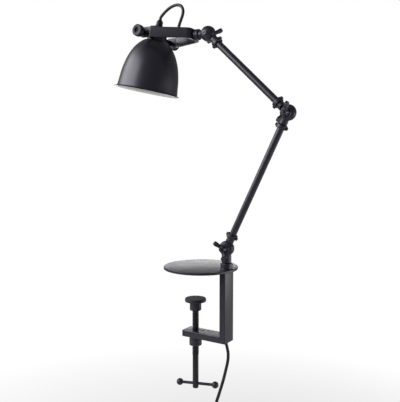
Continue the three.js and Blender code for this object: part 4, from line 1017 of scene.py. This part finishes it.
tip_reach = YOKE_PIVOT + YOKE_HEIGHT / 2 + 1
half_corners = [(YOKE_BACK_CORNER[0], 0), YOKE_BACK_CORNER, YOKE_SHOULDER, (tip_reach, YOKE_SHOULDER[1])]
half_path = rounded_path(half_corners, YOKE_BEND, 10)[1:]
strap_path = [(along, -across) for along, across in reversed(half_path)] + half_path
strap = drawn("yoke_strap", [(-YOKE_HEIGHT / 2, across, along) for along, across in strap_path])
bpy.ops.mesh.extrude_region_move(TRANSFORM_OT_translate={"value": (YOKE_HEIGHT, 0, 0)})
done(strap)
modified(strap, "SOLIDIFY", thickness=YOKE_THICKNESS, offset=0.0, use_even_offset=True)
edit(strap)
bpy.ops.mesh.normals_make_consistent(inside=False)
done(strap)
# the tips are round: all beyond the pivots but a disc about them is cut away
tip_shape = bar_stock("tip_shape", (YOKE_HEIGHT + 2, 120, YOKE_PIVOT + 40), (0, 0, YOKE_PIVOT / 2 - 20))
fused(tip_shape, laid(rod("tip_round", YOKE_HEIGHT / 2, -60, 60, 96), "X", 90, (0, 0, YOKE_PIVOT)))
combined(strap, tip_shape, "INTERSECT")
cut(
    strap,
    laid(rod("pin_way", PIN + GAP, -60, 60, 40), "X", 90, (0, 0, YOKE_PIVOT)),
    rod("nipple_way", NIPPLE + GAP, 20, 60, 40),
)
fitted(eased(strap, 0.5, 3, 40), yoke_place, POWDER, "yoke")

# ---------- pivots and knobs ----------

pin = turned("pin_model", [
    (0, PIN_START), (PIN, PIN_START), (PIN, CAP + GAP), (5.0, CAP + GAP), (SPACER, CAP + 0.8), (SPACER, 43.7),
    (5.0, 44.2), (PIN, 44.2), (PIN, PIN_END), (0, PIN_END),
], 48)
pin_room = PIN_END + GAP - KNOB_START
knob = turned("knob_model", [
    (PIN + GAP, 0), (5.6, 0), (6, 0.4), (6, 6), (6.5, 6.8), (8.6, 7.5),
    *arc((KNOB_RADIUS - 1.8, 9.3), 1.8, -90, 0, 5),
    (KNOB_RADIUS, 11.4), (KNOB_RADIUS - 0.35, 11.7), (KNOB_RADIUS - 0.35, 12.1), (KNOB_RADIUS, 12.4),
    *arc((KNOB_RADIUS - 1.7, 16.8), 1.7, 0, 90, 6), (5.2, KNOB_LENGTH), (4.6, KNOB_LENGTH - 0.5),
    (4.1, 15.6), (0, 15.5), (0, pin_room), (PIN + GAP, pin_room),
], 72)
cut(knob, slab("knob_socket", hexagon(2.2), 14.4, 17.2))
for label, side in (("near", -1), ("far", 1)):
    pin_place = turned_about(shade_place, "X", -90 * side)
    fitted(copied(pin, f"{label}_shade_pin"), pin_place, DARK_STEEL, f"{label}_pivot_pin")
    knob_place = shifted(pin_place, z=KNOB_START)
    fitted(copied(knob, f"{label}_shade_knob"), knob_place, PLASTIC, f"{label}_pivot_knob", smooth=40)
discard(pin, knob)

# ---------- shade and lamp ----------

bell_knots = [
    (64.6, 3.2), (63.4, 12), (60, 0.371 * SHADE_HEIGHT), (53, 0.62 * SHADE_HEIGHT),
    (42.2, 0.826 * SHADE_HEIGHT), (29, SHADE_HEIGHT - 4), (23, SHADE_HEIGHT),
]
bell = [(p.x, p.y) for p in along_curve([(r, h, 0) for r, h in bell_knots], 6)]
inner_bell = []
for i, (radius, height) in enumerate(bell):
    (r0, h0), (r1, h1) = bell[max(i - 1, 0)], bell[min(i + 1, len(bell) - 1)]
    run = hypot(r1 - r0, h1 - h0)
    inner_bell.append((radius - (h1 - h0) / run * SHADE_WALL, height + (r1 - r0) / run * SHADE_WALL))
inner_bell[-1] = (22.5, SHADE_HEIGHT - SHADE_WALL)
lip_inside = [(63.9, 1.9), (64.9, 1.15), (66.6, 0.75)]
lip_outside = [
    (68.7, 0.12), (69.3, 0.0), (69.8, 0.2), (SHADE_RADIUS, 0.6), (69.8, 1.05), (69.3, 1.35),
    (67.4, 1.8), (66.0, 2.1), (65.1, 2.5),
]
shade_profile = [
    *lip_inside, *lip_outside, *bell,
    (SHADE_HOLE, SHADE_HEIGHT), (SHADE_HOLE, SHADE_HEIGHT - SHADE_WALL), *reversed(inner_bell),
]
bell_shade = turned("bell_shade", [(r, h - RIM_DROP) for r, h in shade_profile], 160)
fitted(bell_shade, shade_place, POWDER, "shade", smooth=40)
# the inside of the bell is white up to the rolled rim
bell_shade.data.materials.append(ENAMEL)
shade_origin = shade_place.translation
for face in bell_shade.data.polygons:
    offset = Vector(face.center) - shade_origin
    outward = offset - shade_line * offset.dot(shade_line)
    height = offset.dot(shade_line) / MM + RIM_DROP
    inside = face.normal.dot(outward) < 0 or (face.normal.dot(shade_line) < -0.3 and height > 1)
    on_the_bell = SHADE_HOLE + GAP < outward.length / MM < SHADE_RADIUS - 2
    face.material_index = int(inside and on_the_bell)

cap_shell = turned("shade_crown_cap", [
    (5.5, 20), (15.5, 20), *arc((15.5, 17.5), 2.5, 90, 0, 5), (18, -6.6), (19.4, -6.6),
    (CAP, -6.0), (CAP, -4.4), (CAP - 0.4, -4.0), (CAP - 0.4, -3.4), (CAP, -3.0),
    (CAP, 16.5), *arc((CAP - 5.5, 16.5), 5.5, 0, 90, 12), (5.5, CAP_TOP),
], 96)
cut(cap_shell, laid(rod("pin_way", PIN + GAP, -30, 30), "X", 90))
for turn in range(6):
    vent = laid(bar_stock("vent", (2.2, 30, 8), radius=1.0, along=1), shift=(0, 25, 5.5))
    cut(cap_shell, laid(vent, "Z", 30 + 60 * turn))
fitted(eased(cap_shell, 0.25, 2, 40), shade_place, POWDER, "shade_cap")

grip_profile = [
    (LEAD + GAP, 8.3), (5.2, 8.3), (5.2, 22.3), (8.5, 22.3), (9, 22.8), (9, 24.1), (8.2, 25),
    (6.6, 25.2), (6.6, 25.7),
]
for rib in range(3):
    base = 25.9 + 1.8 * rib
    grip_profile += [(7, base), (7, base + 1.0), (6.6, base + 1.2), (6.6, base + 1.6)]
grip_profile += [*arc((3.6, 32.3), 3.2, 0, 60, 5), (4.4, 36.4), (4.2, 37.0), (LEAD + GAP, 37.3)]
fitted(turned("shade_cord_gland", grip_profile, 48), shade_place, PLASTIC, "cord_grip", smooth=30)

holder_profile = [
    (0, -22), (7.2, -22), (7.2, HOLDER_MOUTH), (12.6, HOLDER_MOUTH), *arc((12.8, -47.8), 1.2, -80, 0, 4),
]
for rib in range(7):
    base = -45.5 + 3.2 * rib
    holder_profile += [
        (HOLDER, base), (HOLDER, base + 1.5), (HOLDER - 0.8, base + 2.0), (HOLDER - 0.8, base + 2.7),
    ]
holder_profile += [
    (HOLDER, -22.4), (HOLDER, 12.5), *arc((HOLDER - 1.4, 12.6), 1.4, 0, 90, 4),
    (5.5, HOLDER_TOP), (5.5, 8), (0, 8),
]
fitted(turned("bulb_holder", holder_profile, 72), shade_place, PLASTIC, "lampholder", smooth=30)

ring_nut = turned("holder_ring", [
    (HOLDER + GAP, -8.4), (HOLDER + GAP, -12.4), (18.2, -12.4), (19, -11.8), (19, -9.0), (18.2, -8.4),
], 96)
notch_middles = arc((0, 0), 19.4, 0, 330, 11)
for x, y in notch_middles:
    cut(ring_nut, laid(rod("notch", 1.6, -14, -7, 16), shift=(x, y, 0)))
fitted(ring_nut, shade_place, PLASTIC, "shade_ring")

cap_profile = [(0, -22.3), (2.6, -22.3), (3.2, -23.4), (5.6, -25.8)]
for ridge in range(5):
    base = -27.0 - 3.6 * ridge
    cap_profile += [(6.1, base), (6.7, base - 0.9), (6.8, base - 1.6), (6.6, base - 2.4), (6.1, base - 3.1)]
cap_profile += [(6.6, -45.6), (6.6, -48.7), (0, -48.7)]
screw_cap = turned("bulb_screw_cap", list(reversed(cap_profile)), 56)
fitted(screw_cap, shade_place, STEEL, "bulb_cap", smooth=50)

glass = turned("opal_bulb", [
    (0, HOLDER_MOUTH), (6.8, HOLDER_MOUTH), (7.0, -50.2), (7.6, -51.9), (8.9, -54.4), (10.6, -57.2),
    *arc((0, BULB_CENTRE), BULB, 58, -90, 30)[1:-1], (0, BULB_CENTRE - BULB),
], 96)
fitted(glass, shade_place, OPAL, "bulb_glass", smooth=70)

# ---------- switch, plug and tie ----------

switch_front = -SWITCH_SIZE[1] / 2
switch = eased(bar_stock("inline_switch", SWITCH_SIZE, radius=5, segments=8), 2.2, 4, 50)
seam = bar_stock("seam_outer", (30, 0.5, 70), (0, 0.5, 0))
cut(seam, bar_stock("seam_core", (SWITCH_SIZE[0] - 0.9, 2, SWITCH_SIZE[2] - 0.9), (0, 0.5, 0), 1))
well = bar_stock("rocker_well", (11.6, 12, 17.6), (0, switch_front - 2.6, 0), 1.2, along=1)
surround = bar_stock("surround", (16, 1, 23), (0, switch_front - 0.2, 0), 3.2, along=1)
cut(switch, seam, surround, well)
for height, turn in ((-SWITCH_SCREW, 180), (SWITCH_SCREW, 0)):
    cut(
        switch,
        laid(rod("screw_pocket", 2.6, 6, 12), "X", -90, (0, 0, height)),
        laid(rod("lead_way", LEAD + GAP, 20, 40), "X", turn),
    )
fitted(eased(switch, 0.25, 2, 45), switch_place, PLASTIC, "cord_switch", smooth=40)
switch_screw = turned("switch_case_screw", [(0, 6.1), (2.3, 6.1), (2.3, 7.1), (1.8, 7.6), (0, 7.6)], 32)
for turn in (0, 90):
    cut(switch_screw, laid(bar_stock("cross", (3.2, 0.6, 1.4), (0, 0, 7.7)), "Z", turn))
for label, height in (("upper", SWITCH_SCREW), ("lower", -SWITCH_SCREW)):
    here = turned_about(shifted(switch_place, z=height), "X", -90)
    fitted(copied(switch_screw, f"switch_{label}_screw"), here, DARK_STEEL, body="clamp", slot="black_metal")
discard(switch_screw)

rocker_outline = [
    (-8.5, 1.1), (-8.5, -1.4), (-8.2, -1.9), (-7.4, -1.9), (-4, -1.2), (0, -0.55), (4, -0.45),
    (8.1, -0.4), (8.5, -0.1), (8.5, 3.1), (0, 3.1),
]
rocker = laid(slab("rocker_key", rocker_outline, -5.5, 5.5), "Y", -90)
cut(rocker, laid(rod("rocker_mark", 1.0, -4, 4), "X", 90, (0, -3.3, 5.2)))
fitted(eased(rocker, 0.35, 2, 30), shifted(switch_place, y=switch_front), PLASTIC, "switch_rocker")

shell_length = PLUG_LENGTH - 8
shell_centre = (0, 0, shell_length / 2 - PLUG_LENGTH)
plug = bar_stock("plug_shell", (*PLUG_SIZE, shell_length), shell_centre, 5, segments=8)
# the end nearer the lead is drawn in
edit(plug, "DESELECT")
bpy.ops.object.mode_set(mode="OBJECT")
for corner in plug.data.vertices:
    corner.select = corner.co.z > -10
bpy.ops.object.mode_set(mode="EDIT")
bpy.ops.transform.resize(value=(0.72, 0.86, 1))
done(plug)
neck_profile = [(0, -14), (6.4, -14), (6.2, -8)]
for rib in range(4):
    base = -7.4 + 1.7 * rib
    wide = 5.4 - 0.28 * rib
    neck_profile += [(wide, base), (wide, base + 0.9), (wide - 0.9, base + 1.1), (wide - 0.9, base + 1.6)]
neck_profile += [(4.0, -0.4), (3.6, 0), (0, 0)]
fused(plug, turned("plug_neck", neck_profile, 40))
for side in (-1, 1):
    pin_shift = (side * PLUG_PIN_SPACING / 2, 0, 0)
    cut(plug, laid(rod("pin_way", PLUG_PIN + GAP, -40, -26), shift=pin_shift))
for side in (-1, 1):
    for row in range(4):
        groove = bar_stock("finger_groove", (1.0, 9, 1.1), (side * (12.85 - row * 0.25), 0, -28 + row * 3.4))
        cut(plug, groove)
fitted(eased(plug, 0.7, 3, 45), plug_place, PLASTIC, "plug_body", smooth=40)
pin_tip = -PLUG_LENGTH - PLUG_PIN_LENGTH
plug_pin = turned("plug_pin_model", [
    (0, -26.3), (PLUG_PIN, -26.3), (PLUG_PIN, -PLUG_LENGTH - 9.8), (1.85, -PLUG_LENGTH - 10),
    (1.85, pin_tip + 1.6), *arc((0.6, pin_tip + 1.25), 1.25, 0, -90, 5), (0, pin_tip),
], 40)
# each pin has a plastic sleeve next to the plug
sleeve_end = plug_place.translation.z - (PLUG_LENGTH + 9.9) * MM
for label, side in (("left", -1), ("right", 1)):
    contact_place = shifted(plug_place, x=side * PLUG_PIN_SPACING / 2)
    contact = copied(plug_pin, f"plug_contact_{label}")
    fitted(contact, contact_place, STEEL, f"plug_pin_{label}", smooth=40)
    contact.data.materials.append(PLASTIC)
    for face in contact.data.polygons:
        face.material_index = int(face.center.z > sleeve_end)
discard(plug_pin)

TIE_HALF, TIE_THICKNESS = 9.6, 1.6
tie_side = 2 * (TIE_HALF + TIE_THICKNESS)
tie = bar_stock("coil_strap", (6, tie_side, tie_side), radius=2.6, along=0, segments=6)
cut(tie, bar_stock("strap_way", (10, 2 * TIE_HALF, 2 * TIE_HALF), radius=1.6, along=0))
fused(tie, bar_stock("strap_lock", (7.2, 5.2, 1.4), (0, -5, TIE_HALF + 0.9), 0.5))
tie_place = frame_at(Vector((COIL_X, COIL_Y, COIL_Z + MIDDLE)) * MM, UP, EDGE_LINE)
fitted(eased(tie, 0.35, 2, 40), tie_place, PLASTIC, "coil_tie")


RELIEF, RELIEF_TIP, RELIEF_RIBS, RELIEF_GROOVE = 5.0, 3.7, 5, 0.8


def relief(name, points):
    """A tapered, ribbed sleeve that follows the lead where it leaves the switch."""
    path = along_curve([Vector(p) * MM for p in points], 12)
    piece = cord_curve(name, path, RELIEF * MM)
    spline = piece.data.splines[0]
    total = len(spline.bezier_points) - 1
    for i, point in enumerate(spline.bezier_points):
        share = i / total
        grooved = int(share * RELIEF_RIBS * 2) % 2 and share < 0.9
        radius = RELIEF + share * (RELIEF_TIP - RELIEF) - (RELIEF_GROOVE if grooved else 0)
        point.radius = radius / RELIEF
    only(piece)
    bpy.ops.object.convert(target="MESH")
    piece = bpy.context.object
    shaded(piece, 40)
    piece.data.materials.clear()
    piece.data.materials.append(PLASTIC)
    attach(piece, "clamp")
    return piece


upper_route = [(SWITCH_X, LEAD_Y, -309.5), (51.2, LEAD_Y, -299), (51.9, -28.9, -288)]
lower_route = [(SWITCH_X, LEAD_Y, height) for height in (-366.5, -376, -386.5)]
upper_relief = relief("switch_upper_relief", upper_route)
lower_relief = relief("switch_lower_relief", lower_route)

# leads inside the tubes keep their plain shape and get their finish
for node in ("lower_arm_lead", "upper_arm_lead"):
    frame["nodes"][node].data.materials.clear()
    frame["nodes"][node].data.materials.append(SHEATH)

# ---------- pieces carried on the mains lead ---

cord_ends = [tie, switch, rocker, plug, upper_relief, lower_relief]
cord_ends += [bpy.data.objects[name] for name in ("plug_contact_left", "plug_contact_right")]

# ---------- floor, lights and world ----------

FLOOR_Z, FLOOR_SIZE = -0.56, 30
# the floor turns white with the distance from its middle, in metres
GLOW_START, GLOW_LENGTH, NEAR_GLOW = 0.56, 1.2, 0.45

only()
bpy.ops.mesh.primitive_plane_add(size=FLOOR_SIZE, location=(0, 0, FLOOR_Z))
floor = bpy.context.object
floor.name = "studio_floor"
bpy.ops.object.transform_apply(location=True, rotation=True, scale=True)
floor_material = bpy.data.materials.new("pale_floor")
floor_material.use_nodes = True
bench = Bench(floor_material.node_tree)
paint_sockets = {"Base Color": (0.80, 0.80, 0.80, 1), "Roughness": 0.7}
paint = bench.add("ShaderNodeBsdfPrincipled", {}, paint_sockets, output="BSDF")
glow = bench.add("ShaderNodeEmission", {}, {"Color": (1, 1, 1, 1), "Strength": 1.0})
distance = bench.add("ShaderNodeVectorMath", {"operation": "LENGTH"}, {0: bench.place()}, output="Value")
away = bench.ramp((distance - GLOW_START) / GLOW_LENGTH, (0.05, 0.0), (0.6, 1.0))
seen = bench.add("ShaderNodeLightPath", output="Is Camera Ray")
share = seen * (NEAR_GLOW + away * (1 - NEAR_GLOW))
mixed = bench.add("ShaderNodeMixShader", {}, {0: share, 1: paint, 2: glow})
bench.add("ShaderNodeOutputMaterial", {}, {"Surface": mixed})
floor.data.materials.append(floor_material)

# the surround is white to the eye and through glass, dimmer in reflections, and dimmer still as light
FILL, REFLECTED_FILL = 0.11, 0.21

world = bpy.data.worlds.new("studio")
bpy.context.scene.world = world
world.use_nodes = True
bench = Bench(world.node_tree)
camera_ray = bench.add("ShaderNodeLightPath", output="Is Camera Ray")
glossy_ray = bench.add("ShaderNodeLightPath", output="Is Glossy Ray")
through_ray = bench.add("ShaderNodeLightPath", output="Is Transmission Ray")
level = bench.add("ShaderNodeMath", {"operation": "MAXIMUM"}, {0: camera_ray, 1: through_ray})
strength = FILL + level * (1 - FILL) + glossy_ray * (REFLECTED_FILL - FILL)
backdrop = bench.add("ShaderNodeBackground", {}, {"Color": (1, 1, 1, 1), "Strength": strength})
bench.add("ShaderNodeOutputWorld", {}, {"Surface": backdrop})


def softbox(name, place, aim, size, power):
    """A rectangular lamp, its place and size in metres and its power in watts."""
    bpy.ops.object.light_add(type="AREA", location=place)
    lamp = bpy.context.object
    lamp.name = name
    lamp.rotation_euler = (Vector(aim) - Vector(place)).to_track_quat("-Z", "Y").to_euler()
    lamp.data.shape = "RECTANGLE"
    lamp.data.size, lamp.data.size_y = size
    lamp.data.energy = power


softbox("left_softbox", (-1.18, -1.02, 0.98), aim=(-0.05, 0, 0.30), size=(2.2, 1.3), power=45)
softbox("low_softbox", (1.45, 0.80, -0.10), aim=(0, 0, 0), size=(1.9, 0.6), power=10)
softbox("back_softbox", (-1.1, 1.7, 0.25), aim=(0, 0, 0), size=(1.2, 0.35), power=5)

bpy.context.scene.view_settings.view_transform = "Standard"
